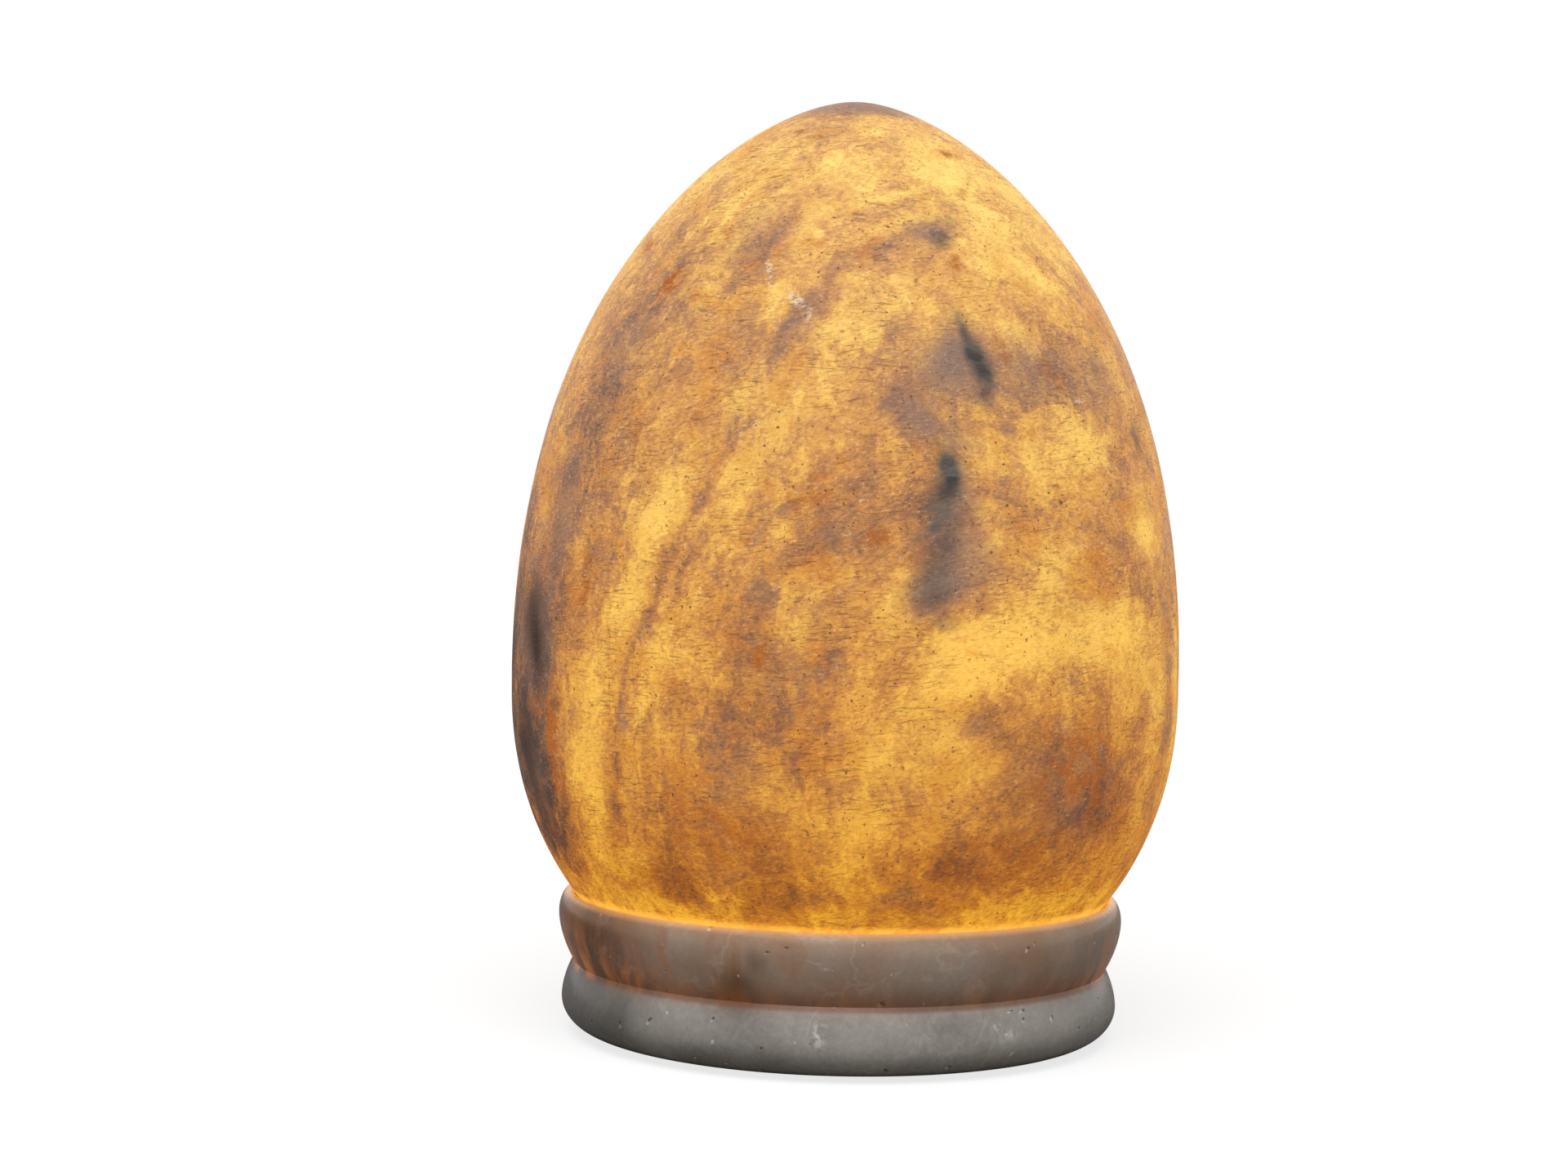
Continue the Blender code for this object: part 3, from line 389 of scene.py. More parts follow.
def reach_of(node):
    """A round solid's outer radius, bottom and top."""
    low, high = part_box(node)
    return high[0], low[2], high[2]


def drill(piece, outline, turn):
    """Cuts a turned outline out of a piece, after turning and moving it by a matrix."""
    bm = lathe(outline, COARSE)
    bmesh.ops.transform(bm, matrix=turn, verts=bm.verts)
    drill_bit = shaped("drill_bit", bm)
    hole = piece.modifiers.new("hole", "BOOLEAN")
    hole.operation = "DIFFERENCE"
    hole.solver = "EXACT"
    hole.object = drill_bit
    graph = bpy.context.evaluated_depsgraph_get()
    drilled = bpy.data.meshes.new_from_object(piece.evaluated_get(graph))
    piece.modifiers.clear()
    piece.data = drilled
    bpy.data.objects.remove(drill_bit)
    shade(piece.data, 40)


# The egg

UPPER_POWER = 2.32
UPPER_ROOT = 0.609
LOWER_POWER = 2.09
LOWER_ROOT = 0.450
LOWER_LENGTH = 0.0728
TIP_BLUNTNESS = 0.03


def egg_radius(egg, height):
    """The egg's outer radius at a height."""
    if height >= egg.waist:
        left = max(0.0, 1 - ((height - egg.waist) / (egg.height - egg.waist)) ** UPPER_POWER)
        blunted = TIP_BLUNTNESS + (1 - TIP_BLUNTNESS) * left
        return egg.radius * math.sqrt(left) * blunted ** (UPPER_ROOT - 0.5)
    return egg.radius * max(0.0, 1 - ((egg.waist - height) / LOWER_LENGTH) ** LOWER_POWER) ** LOWER_ROOT


def egg_inner_point(egg, height):
    """The point of the hollow inward from the outer point at this height."""
    step = 1e-5
    slope = (egg_radius(egg, height + step) - egg_radius(egg, height - step)) / (2 * step)
    outward = Vector((1, -slope)).normalized()
    share = max(0.0, (height - egg.waist) / (egg.height - egg.waist))
    thickness = egg.wall + (egg.crown - egg.wall) * share**2
    return Vector((egg_radius(egg, height), height)) - outward * thickness


# Waves left by hand carving: how many a metre, and their share of the depth. Only what stays below
# the limit goes inward.
CARVED_WAVES = ((28, 0.6), (75, 0.25), (240, 0.07))
CARVED_LIMIT = 0.45


def carve(bm, egg):
    """Waves in the skin that a hand-held grinder leaves, all inward."""
    for vert in bm.verts:
        wave = sum(noise.noise(vert.co * scale) * share for scale, share in CARVED_WAVES)
        inward = min(0.0, wave - CARVED_LIMIT) * egg.unevenness
        level = Vector((vert.co.x, vert.co.y, 0))
        if level.length > 1e-6:
            vert.co += level.normalized() * inward


EGG_STEPS = 208
EGG_ROWS = 150
EGG_HOLLOW_ROWS = 60
SKIN_CLEARANCE = 0.03 * MM
TIP_CLEARANCE = 0.15 * MM
RIM_EASE = 0.6 * MM


def crowded(share):
    """A share from 0 to 1, moved so that even steps come closer together at both ends."""
    return (1 - math.cos(math.pi * share)) / 2


def egg_mesh(egg):
    """The hollow egg, its mouth cut flat and its rim eased."""
    top = egg.height - TIP_CLEARANCE
    heights = [egg.mouth + (top - egg.mouth) * crowded(row / EGG_ROWS) for row in range(1, EGG_ROWS)]
    outer = [(egg_radius(egg, height) - SKIN_CLEARANCE, height) for height in heights]
    low = egg.mouth - egg.wall
    high = egg.mouth
    while high - low > SAME_PLACE:
        middle = (low + high) / 2
        if egg_inner_point(egg, middle).y < egg.mouth:
            low = middle
        else:
            high = middle
    hollow = []
    for row in range(EGG_HOLLOW_ROWS):
        height = high + (top - high) * crowded(row / EGG_HOLLOW_ROWS)
        hollow.append(tuple(egg_inner_point(egg, height)))
    rim_out = outer[0][0] - RIM_EASE / 2
    rim = [(hollow[0][0] + RIM_EASE, egg.mouth), (rim_out - 1.5 * RIM_EASE, egg.mouth)]
    rim.append((rim_out, egg.mouth + RIM_EASE / 3))
    outline = [(0.0, egg.height - egg.crown)] + list(reversed(hollow[1:])) + rim + outer[1:] + [(0.0, top)]
    bm = lathe(outline, EGG_STEPS)
    carve(bm, egg)
    return bm


# Patches of the onyx: degrees round from the front, height, half width and half height in mm, then
# how far the half height leans to the right in degrees, and strength
LIT_PATCHES = (
    (-46, 44, 6, 9, 10, 0.12),
    (-47, 62, 7, 22, 0, 0.30),
    (-45, 80, 9, 17, 5, 0.32),
    (-39, 98, 8, 16, 18, 0.26),
    (-33, 117, 9, 18, 15, 0.24),
    (-18, 137, 12, 34, 14, 0.18),
    (-13, 167, 9, 22, 55, 0.08),
    (-48, 50, 5, 15, 12, 0.16),
    (-41, 96, 5, 14, 20, 0.14),
    (-34, 117, 4.5, 14, 28, 0.14),
    (-25, 138, 4.5, 14, 28, 0.12),
    (-34, 76, 2.4, 14, 11, 0.18),
    (-24, 105, 3.6, 14, 14, 0.16),
    (-18, 125, 4.5, 13, 24, 0.14),
    (-11, 143, 4.5, 12, 28, 0.14),
    (-2, 158, 5, 12, 52, 0.12),
    (0, 156, 14, 9, 20, 0.14),
    (45, 168, 22, 11, 15, 0.26),
    (16, 93, 8, 16, 70, 0.14),
    (28, 89, 13, 24, 78, 0.36),
    (46, 93, 13, 24, 82, 0.40),
    (34, 107, 13, 20, 70, 0.20),
    (64, 84, 9, 24, 0, 0.26),
    (4, 76, 9, 24, 0, 0.24),
    (2, 52, 11, 22, 0, 0.24),
    (14, 76, 12, 18, 10, 0.26),
    (38, 133, 12, 28, 88, 0.26),
    (60, 119, 9, 12, 0, 0.16),
    (57, 168, 10, 14, 0, 0.12),
    (-6, 98, 7, 10, 50, 0.12),
    (15, 161, 14, 9, 25, 0.18),
    (-15, 160, 8, 8, 0, 0.18),
    (0, 168, 10, 7, 0, 0.10),
    (-13, 175, 9, 10, 0, 0.12),
    (62, 170, 8, 7, 0, 0.12),
    (1, 36, 9, 4, 0, 0.24),
    (18, 84, 9, 14, 70, 0.20),
    (58, 84, 10, 16, 90, 0.18),
    (15, 50, 8, 9, 0, 0.22),
    (46, 139, 8, 14, 88, 0.22),
    (60, 119, 9, 14, 0, 0.20),
    (60, 131, 6, 7, 0, 0.14),
    (-14, 70, 8, 9, 10, 0.12),
    # These two narrow strips at the right and left edges are painted rim light: the bright edge of the
    # silhouette, fixed on the stone
    (76, 78, 7, 30, -5, 0.32),
    (-83, 118, 6, 46, 0, 0.26),
    (-10, 129, 4.5, 16, 28, 0.14),
    (-12, 115, 4, 12, 28, 0.12),
    (8, 72, 9, 8, 0, 0.12),
    (-7, 78, 4, 7, 10, 0.16),
    (7, 43, 6, 6, 0, 0.18),
)

DIM_PATCHES = (
    (-77, 82, 26, 66, 0, 0.62),
    (-64, 56, 19, 30, 0, 0.56),
    (-62, 90, 18, 30, 0, 0.48),
    (-53, 130, 22, 34, 8, 0.36),
    (-50, 162, 22, 20, 20, 0.18),
    (2, 120, 11, 15, 70, 0.16),
    (-41, 62, 2.6, 15, 10, 0.22),
    (-38, 80, 2.6, 14, 9, 0.24),
    (-34, 96, 2.8, 12, 23, 0.24),
    (-30, 109, 3, 12, 24, 0.24),
    (-26, 122, 3.4, 11, 24, 0.22),
    (-20, 137, 4, 13, 30, 0.20),
    (-13, 154, 4.6, 12, 31, 0.20),
    (-5, 165, 4.6, 12, 55, 0.20),
    (5, 173, 4.6, 14, 72, 0.16),
    (-34, 60, 2.2, 12, 15, 0.20),
    (-28, 104, 2.2, 14, 22, 0.20),
    (-20, 70, 6, 16, 5, 0.14),
    (-17, 88, 6, 15, 15, 0.16),
    (-12, 104, 6, 11, 24, 0.24),
    (-6, 115, 7, 12, 46, 0.20),
    (2, 131, 6, 9, 15, 0.14),
    (9, 142, 6, 12, 63, 0.14),
    (-9, 80, 5, 10, 30, 0.14),
    (0, 92, 5, 13, 60, 0.16),
    (-22, 78, 8, 16, 8, 0.10),
    (-17, 52, 15, 15, 0, 0.26),
    (-30, 50, 14, 16, 0, 0.24),
    (-8, 39, 6, 18, 90, 0.18),
    (13, 123, 11, 18, 0, 0.30),
    (12, 140, 12, 10, 0, 0.16),
    (15, 105, 11, 14, 0, 0.22),
    (26, 150, 10, 18, 85, 0.26),
    (42, 149, 8, 18, 84, 0.20),
    (60, 144, 6, 8, 0, 0.18),
    (43, 64, 22, 19, 0, 0.34),
    (29, 60, 14, 18, 0, 0.26),
    (47, 54, 20, 14, 0, 0.26),
    (20, 46, 8, 22, 90, 0.20),
    (67, 140, 8, 16, 0, 0.14),
    (-80, 54, 16, 26, 0, 0.34),
    (-62, 62, 11, 12, 0, 0.22),
    (-60, 81, 6, 14, 0, 0.36),
    (-60, 120, 6, 12, 0, 0.16),
    (-45, 50, 8, 9, 0, 0.12),
    (-19, 37, 9, 4, 0, 0.14),
    (-32, 41, 10, 8, 0, 0.34),
    (60, 59, 11, 12, 0, 0.12),
    (-17, 138, 5, 16, 22, 0.20),
    (-21, 122, 4, 12, 24, 0.14),
    (22, 74, 8, 8, 30, 0.22),
    (-35, 125, 6, 8, 0, 0.12),
    (19, 37, 14, 3, 0, 0.12),
    (-30, 37, 12, 3, 0, 0.12),
)

RUST_PATCHES = (
    (42, 64, 17, 24, 85, 0.50),
    (56, 52, 14, 16, 0, 0.34),
    (28, 47, 9, 30, 90, 0.48),
    (-20, 52, 22, 12, 0, 0.40),
    (-34, 42, 7, 16, 90, 0.40),
    (-56, 70, 5, 22, 0, 0.65),
    (-50, 101, 3, 9, 0, 0.60),
    (-66, 52, 6, 12, 0, 0.60),
    (-62, 112, 6, 22, 4, 0.35),
    (-45, 165, 4.5, 7, 60, 0.95),
    (-12, 91, 5, 4, 0, 0.60),
    (-6, 126, 5, 7, 60, 0.45),
    (5, 117, 4, 3.4, 0, 0.55),
    (-39, 134, 3, 8, 10, 0.35),
    (-35, 176, 4, 3, 0, 0.45),
    (25, 170, 3, 3, 0, 0.55),
    (42, 150, 5, 5, 0, 0.45),
    (20, 132, 2.2, 2.4, 0, 0.50),
    (18.5, 119.5, 3.4, 3.6, 40, 0.70),
    (31, 153.5, 3.6, 3.6, 0, 0.60),
    (46, 111, 3, 4, 0, 0.30),
    (120, 90, 26, 30, 0, 0.50),
    (-135, 60, 28, 22, 0, 0.50),
    (165, 130, 14, 20, 20, 0.40),
)

HALO_PATCHES = (
    (24, 152, 10, 12, -10, 0.80),
    (14, 146, 9, 17, 70, 0.50),
    (36, 151, 9, 20, 90, 0.50),
    (55, 150, 8, 18, 85, 0.46),
    (11, 138, 8, 7, 30, 0.72),
    (19, 149, 9, 9, 0, 0.60),
    (17, 126, 9, 11, 0, 0.66),
    (18, 136, 11, 5, 0, 0.50),
    (17, 113, 12, 13, 0, 0.66),
    (14, 104, 10, 9, 0, 0.72),
    (22, 107, 8, 12, 10, 0.35),
    (-64, 92, 12, 22, 0, 0.60),
    (-66, 60, 12, 20, 0, 0.50),
    (-58, 118, 12, 26, 6, 0.45),
    (-50, 152, 18, 12, 0, 0.35),
    (-9, 158, 6, 9, 28, 0.40),
    (30, 66, 4, 12, 60, 0.20),
    (40, 58, 9, 5, 0, 0.22),
    (36, 73, 5, 4, 0, 0.20),
    (-38, 74, 3, 5, 0, 0.45),
    (150, 110, 16, 28, 10, 0.55),
    (-120, 140, 16, 20, 40, 0.50),
)

SMOKE_PATCHES = (
    (22.3, 158.5, 2.6, 5.0, -12, 0.60),
    (23.3, 154.0, 4.0, 5.2, -24, 0.80),
    (24.6, 151.0, 5.0, 5.2, -35, 0.85),
    (25.8, 147.6, 5.0, 4.4, 0, 0.85),
    (24.8, 144.0, 4.0, 3.6, 0, 0.50),
    (17.0, 130.0, 5.2, 5.6, 5, 0.95),
    (16.6, 126.0, 5.4, 6.2, 10, 0.72),
    (15.4, 121.0, 6.6, 7.0, 15, 0.66),
    (13.4, 117.4, 2.0, 3.2, 60, 0.62),
    (14.8, 113.0, 7.4, 9.6, 0, 0.56),
    (13.6, 104.0, 7.4, 8.0, 0, 0.62),
    (-65, 95, 11, 15, 0, 0.90),
    (-62, 86, 8, 11, 0, 0.70),
    (-55, 77, 3, 3, 0, 0.40),
    (-69, 67, 12, 16, 6, 0.85),
    (-66, 54, 10, 13, 0, 0.65),
    (65, 136, 4, 5.6, 0, 0.66),
    (16, 97.5, 5, 3, 0, 0.40),
    (42, 149.5, 2.4, 2.6, 0, 0.35),
    (56, 151, 2.6, 5, 80, 0.30),
    (140, 118, 4, 16, 12, 0.80),
    (146, 100, 5, 9, -8, 0.50),
    (-118, 150, 3, 12, 25, 0.70),
)

# Pale chips in the stone, with painted glints on them
CHIP_AND_GLINT_PATCHES = (
    (-19, 169, 5, 1.2, 60, 0.75),
    (-12, 163, 4, 1.6, 40, 0.70),
    (-9, 160, 3, 1.0, 70, 0.60),
    (47, 143.5, 2.5, 0.5, 20, 0.70),
    (2, 122, 1.4, 0.6, -40, 0.80),
)


# Patches of the crown as the front shows them: mm to the right of the axis, then as above
CROWN_LIT = (
    (-22, 186, 22, 2.4, -42, 0.22),
    (-27, 178, 20, 2.0, -50, 0.16),
    (-8, 190, 18, 2.2, -34, 0.18),
    (-4, 183, 20, 2.0, -38, 0.14),
    (18, 192, 14, 4.5, 34, 0.30),
    (27, 184, 16, 4.0, 46, 0.26),
    (10, 187, 15, 2.0, -16, 0.22),
    (9, 180, 9, 4.0, -20, 0.16),
    (24, 174, 13, 3.0, 50, 0.16),
    (-38, 172, 17, 2.2, -58, 0.14),
    (-30, 164, 18, 2.4, -60, 0.12),
    (3, 199, 9, 2.0, -8, 0.16),
)

CROWN_DIM = (
    (3, 207.5, 24, 4.4, 0, 0.34),
    (-14, 180, 20, 2.6, -42, 0.14),
    (-20, 171, 22, 2.6, -50, 0.14),
    (-33, 180, 14, 2.4, -52, 0.14),
    (19, 178, 9, 4.5, 12, 0.22),
    (6, 174, 18, 2.4, -26, 0.12),
    (22, 183, 5, 3.6, 12, 0.18),
    (-23, 187, 7, 2.6, -42, 0.12),
)

CROWN_RUST = (
    (-9, 199.5, 3.0, 1.3, -30, 0.65),
    (-12, 201, 2.0, 1.0, -20, 0.50),
    (20, 196.5, 3.4, 1.1, 28, 0.65),
    (23, 188, 2.4, 3.6, 20, 0.40),
    (-45, 176, 3, 2, -30, 0.45),
)

CROWN_HALO = (
    (3, 207.5, 27, 4.8, 0, 0.78),
    (17.5, 177.5, 8, 4.6, 10, 0.70),
    (-20, 176, 16, 5.0, -48, 0.30),
)

CROWN_SMOKE = (
    (18.4, 176.8, 4.4, 2.8, 12, 0.66),
    (20.6, 181.4, 2.6, 2.2, -30, 0.34),
)


def unrolled(finish, egg, vector):
    """The skin laid out flat: millimetres round from the front, and millimetres above the shelf."""
    x, y, z = finish.parts(vector)
    around = finish.node("ShaderNodeMath", {"operation": "ARCTAN2"}, {0: x, 1: y * -1.0})
    return finish.joined(around * (egg.radius / MM), z / MM, 0.0)


def seen_from_front(finish, vector):
    """The skin as the front shows it, in millimetres. The back, but not the tip, is sent far away."""
    x, y, z = finish.parts(vector)
    away = finish.rise(y, -0.004, 0.004, 0.0, 900.0) * finish.rise(z, 0.196, 0.200, 1.0, 0.0)
    return finish.joined(x / MM, z / MM + away, 0.0)


def patches(finish, skin, table, edge=0.0, reach=1.0):
    """The sum of a table's soft ellipses on a skin. Reach turns the table's first column into millimetres."""
    turned = skin
    lean_before = 0
    total = None
    # Patches that lean alike follow each other, so that they share one turned skin
    by_lean = sorted(table, key=lambda patch: (abs(patch[4]), patch[4]))
    for across, height, half_width, half_height, lean, strength in by_lean:
        turn = Matrix.Rotation(math.radians(lean), 2)
        if lean != lean_before:
            turned = finish.turned((0, 0, math.radians(lean)), skin)
            lean_before = lean
        centre = turn @ Vector((across * reach, height))
        shrink = (1 / half_width, 1 / half_height, 0)
        shift = (-centre.x / half_width, -centre.y / half_height, 0)
        near = finish.node(
            "ShaderNodeVectorMath", {"operation": "MULTIPLY_ADD"}, {0: turned, 1: shrink, 2: shift}
        )
        far = finish.vector("LENGTH", near, (0, 0, 0), "Value")
        one = finish.rise(far, edge, 1.0, strength, 0.0)
        total = one if total is None else total + one
    return total


def scratches(stone, leans, threshold):
    """Short thin lines left by sanding, each set rising to the right by its lean in degrees."""
    lines = None
    for lean in leans:
        turned = stone.turned((0, math.radians(lean), 0))
        drawn_out = stone.vector("MULTIPLY", turned, SCRATCH_STRETCH)
        one = stone.rise(stone.noise(1.0, 2.0, 0.5, drawn_out), threshold, threshold + 0.05)
        lines = one if lines is None else lines.most(one)
    return lines


def pitted(stone, vector, kinds):
    """Small round pits on chosen cells, for each kind of (cell scale, share of cells, radius in cells)."""
    pits = None
    for scale, share, radius in kinds:
        chance = stone.parts(stone.cells(scale, vector, "Color"))[0]
        here = stone.rise(stone.cells(scale, vector), radius * 0.6, radius * 1.5, 1.0, 0.0)
        one = here * stone.rise(chance, 1 - share, 1 - share + 0.02)
        pits = one if pits is None else pits.most(one)
    return pits


# The growth arcs: their common centre in metres right of the axis and above the shelf, how much they are
# squashed, and how far they drift up as they go to the right
ARC_CENTRE = (0.032, 0.066)
ARC_SQUASH = 0.72
ARC_DRIFT = 0.5

# Stone colours from no light coming through to the most, for the top and the bottom of the egg. The top's are
# paler and bluer partly as painted light from above, and the bottom's darker partly as painted shade
GLOW_ABOVE_WITH_PAINTED_TOP_LIGHT = (
    (0.00, paint(96, 80, 76)),
    (0.35, paint(164, 124, 100)),
    (0.60, paint(214, 158, 104)),
    (0.80, paint(242, 187, 110)),
    (1.00, paint(255, 214, 122)),
)
GLOW_BELOW = (
    (0.00, paint(44, 29, 24)),
    (0.25, paint(112, 66, 32)),
    (0.50, paint(176, 102, 30)),
    (0.72, paint(216, 132, 30)),
    (1.00, paint(254, 180, 44)),
)

VEIL = paint(148, 118, 100)
WARM_AMBER = paint(208, 122, 44)
RUST = paint(182, 100, 38)
HALO = paint(154, 123, 106)
SOOT_DARK = paint(66, 66, 66)
SOOT_PALE = paint(104, 98, 90)
SOOT_BROWN = paint(64, 46, 38)
DARK_FLECK = paint(86, 68, 56)
# Pale flecks, partly painted glints: whiter above as painted sheen of the light from above, amber below
PALE_FLECK_BELOW = paint(252, 190, 84)
PALE_FLECK_PAINTED_SHEEN_ABOVE = paint(244, 234, 216)
SCRATCH_BROWN = paint(112, 78, 52)
PIT_BROWN = paint(84, 60, 44)
CHIP_AND_GLINT_WHITE = paint(240, 222, 196)
SEAM_LIGHT = paint(255, 186, 72)

# Sanding marks: leans in degrees, and how finely the noise is drawn along and across them
SCRATCH_LEANS = (5, 11, -5)
SCRATCH_STRETCH = (170, 170, 2500)
FLECK_LEAN = 11
FLECK_STRETCH = (900, 900, 2100)

# Pits: cell scale, share of the cells, radius in cells
EGG_PITS = ((850, 0.28, 0.17), (520, 0.20, 0.13), (170, 0.14, 0.08))
BASE_PITS = ((330, 0.20, 0.11), (150, 0.14, 0.09))


class AmberOnyx(Finish):
    """Amber onyx lit from inside."""

    def __init__(self, egg):
        super().__init__("amber_onyx", roughness=0.45)
        # Millimetres of skin in one degree round the egg
        self.degree = math.radians(1) * egg.radius / MM
        self.lay_out(egg)
        self.grow()
        glow = self.glowing()
        self.wear(self.stained(self.lit_stone(glow), glow), egg.glow)

    def round_about(self, skin, table, edge=0.0):
        """Patches placed by degrees round the egg."""
        return patches(self, skin, table, edge, self.degree)

    def lay_out(self, egg):
        """The places of the skin, pushed about widely, raggedly or finely."""
        wide = self.warped(20, 15 * MM, detail=2.0)
        self.ragged = self.warped(130, 4.5 * MM, wide, 3.0)
        self.frayed = self.warped(420, 1.6 * MM, self.warped(120, 3.5 * MM, detail=2.0), 2.0)
        self.soft = unrolled(self, egg, wide)
        self.rough = unrolled(self, egg, self.ragged)
        self.inky = unrolled(self, egg, self.frayed)
        self.crown = seen_from_front(self, self.ragged)
        self.crown_ink = seen_from_front(self, self.frayed)
        self.height = self.parts()[2]

    def banded(self, across, through, along, detail, roughness):
        """Noise drawn out along the growth arcs, with so many features a metre each way."""
        outward, y, rise = self.arcs
        drawn_out = self.joined(outward * across, y * through, rise * along)
        return self.noise(1.0, detail, roughness, drawn_out)

    def grained(self, scale, detail, roughness, low, high, start=-0.5, end=0.5):
        """Ragged noise with hardened edges."""
        return self.rise(self.noise(scale, detail, roughness, self.ragged), low, high, start, end)

    def grow(self):
        """Growth arcs, upright at the left and sweeping over to the right above, and the stone's grain."""
        x, y, z = self.parts(self.ragged)
        bent = self.joined(x - ARC_CENTRE[0], 0.0, (z - ARC_CENTRE[1]) * ARC_SQUASH)
        self.arcs = (self.vector("LENGTH", bent, (0, 0, 0), "Value"), y, z + x * ARC_DRIFT)
        self.bands = self.banded(105, 40, 22, 7.0, 0.66)
        self.wisps = self.banded(330, 90, 62, 5.0, 0.68)
        layers = self.banded(60, 24, 12, 3.0, 0.55)
        pale_lines = self.rise(abs(layers - 0.47), 0.0, 0.012, 1.0, 0.0)
        dark_lines = self.rise(abs(layers - 0.55), 0.0, 0.010, 1.0, 0.0)
        self.clouds = self.noise(30, 8.0, 0.66, self.ragged)
        self.islands = self.grained(170, 6.0, 0.70, 0.46, 0.53)
        self.shores = self.grained(62, 8.0, 0.64, 0.485, 0.52)
        turned = self.turned((0, math.radians(FLECK_LEAN), 0))
        self.flecks = self.noise(1.0, 4.0, 0.75, self.vector("MULTIPLY", turned, FLECK_STRETCH))
        self.specks = self.grained(480, 5.0, 0.72, 0.44, 0.56)
        self.lines = pale_lines, dark_lines, self.rise(x, -0.048, -0.012, 0.13, 0.05)
        self.x = x

    def glowing(self):
        """How much light comes through: 0 in dark stone, 1 in bright stone, more in the brightest."""
        glow = 0.70 + self.rise(self.height, 0.160, 0.195) * 0.10
        glow = glow + self.round_about(self.rough, LIT_PATCHES) - self.round_about(self.rough, DIM_PATCHES)
        glow = glow + patches(self, self.crown, CROWN_LIT) - patches(self, self.crown, CROWN_DIM)
        glow = glow + (self.bands - 0.5) * 0.62 + (self.wisps - 0.5) * 0.36 + (self.clouds - 0.5) * 0.66
        glow = glow + self.islands * 0.12 + self.shores * 0.09 + self.specks * 0.07
        glow = glow + (self.flecks - 0.5) * 0.36
        pale_lines, dark_lines, upright = self.lines
        glow = glow + (pale_lines - dark_lines) * upright
        return glow + self.rise(self.height, 0.033, 0.041, 0.15, 0.0)

    def lit_stone(self, glow):
        """The stone's colour for the light that comes through, paler towards the top and darker towards the
        bottom partly as painted light from above.
        """
        rise = self.rise(self.height, 0.036, 0.062) * 0.18 + self.rise(self.height, -0.010, 0.240) * 0.78
        colour = self.mix(rise, self.ramp(glow, GLOW_BELOW), self.ramp(glow, GLOW_ABOVE_WITH_PAINTED_TOP_LIGHT))
        return self.scaled(colour, self.rise(glow, 0.85, 1.55, 1.0, 1.30))

    def stained(self, colour, glow):
        """Grey veils, warmer clouds, rust, halos and flecks, the pale flecks partly painted glints, and smoke
        over them.
        """
        veil = self.grained(46, 7.0, 0.66, 0.46, 0.62, 0.0, 1.0)
        veil = veil * self.rise(glow, 0.50, 0.90, 0.50, 0.06)
        veil = veil * self.rise(self.height, 0.045, 0.100, 0.35, 1.0)
        colour = self.mix(veil, colour, VEIL)
        warmth = self.grained(85, 6.0, 0.64, 0.52, 0.66, 0.0, 1.0) * 0.42
        colour = self.mix(warmth, colour, WARM_AMBER)
        grain = self.grained(230, 6.0, 0.70, 0.43, 0.55, 0.20, 1.35)
        rust = self.round_about(self.rough, RUST_PATCHES, 0.25)
        rust = rust + patches(self, self.crown_ink, CROWN_RUST, 0.2)
        colour = self.mix(rust * grain, colour, RUST)
        halo = self.round_about(self.soft, HALO_PATCHES) + patches(self, self.crown, CROWN_HALO)
        colour = self.mix(halo, colour, HALO)
        colour = self.mix(self.rise(self.flecks, 0.28, 0.47, 0.42, 0.0), colour, DARK_FLECK)
        # Pale flecks, partly painted glints, whiter above as painted sheen
        pale = self.mix(self.rise(self.height, 0.050, 0.110), PALE_FLECK_BELOW, PALE_FLECK_PAINTED_SHEEN_ABOVE)
        colour = self.mix(self.rise(self.flecks, 0.56, 0.72, 0.0, 0.34), colour, pale)
        smoke = self.round_about(self.inky, SMOKE_PATCHES) + patches(self, self.crown_ink, CROWN_SMOKE)
        soot = self.mix(self.rise(self.wisps, 0.4, 0.6), SOOT_DARK, SOOT_PALE)
        soot = self.mix(self.rise(self.x, -0.050, -0.035, 1.0, 0.0), soot, SOOT_BROWN)
        return self.mix(smoke, colour, soot)

    def wear(self, colour, strength):
        """Nearly level scratches, dark pits, pale chips with painted glints and the bright seam, then the
        shader.
        """
        scratch = scratches(self, SCRATCH_LEANS, 0.64) * self.rise(self.noise(55, 3.0), 0.36, 0.60)
        moved = self.vector("ADD", self.frayed, (0.003, 0.001, 0.002))
        crumbled = self.warped(1300, 0.7 * MM, moved, 2.0)
        pits = pitted(self, crumbled, EGG_PITS) * self.rise(self.noise(70, 3.0), 0.38, 0.55, 0.25, 1.0)
        # Pale chips, partly painted glints
        chips_and_glints = self.round_about(self.inky, CHIP_AND_GLINT_PATCHES, 0.3) * self.rise(self.flecks, 0.42, 0.60)
        colour = self.mix(scratch * 0.52, colour, SCRATCH_BROWN)
        colour = self.mix(pits * 0.78, colour, PIT_BROWN)
        colour = self.mix(chips_and_glints, colour, CHIP_AND_GLINT_WHITE)
        seam = self.rise(self.height, 0.0320, 0.0337, 1.0, 0.0)
        patchy = self.rise(self.islands + self.wisps, -0.1, 0.9, 0.55, 0.95)
        colour = self.mix(seam * patchy, colour, SEAM_LIGHT)
        self.set("Base Color", self.vector("MULTIPLY", colour, (0.30, 0.30, 0.30)))
        self.set("Emission Color", self.scaled(colour, 1 + seam * 0.35 + (self.flecks - 0.5) * 0.5))
        self.set("Emission Strength", strength)
        self.set("Specular IOR Level", 0.07)
        self.set("Roughness", self.rise(self.clouds, 0.3, 0.7, 0.42, 0.58))
        relief = (self.flecks - 0.5) * 0.25 - scratch * 0.5 - pits * 1.4 + chips_and_glints * 0.5
        self.set("Normal", self.bump(relief, 0.4, 0.0002))


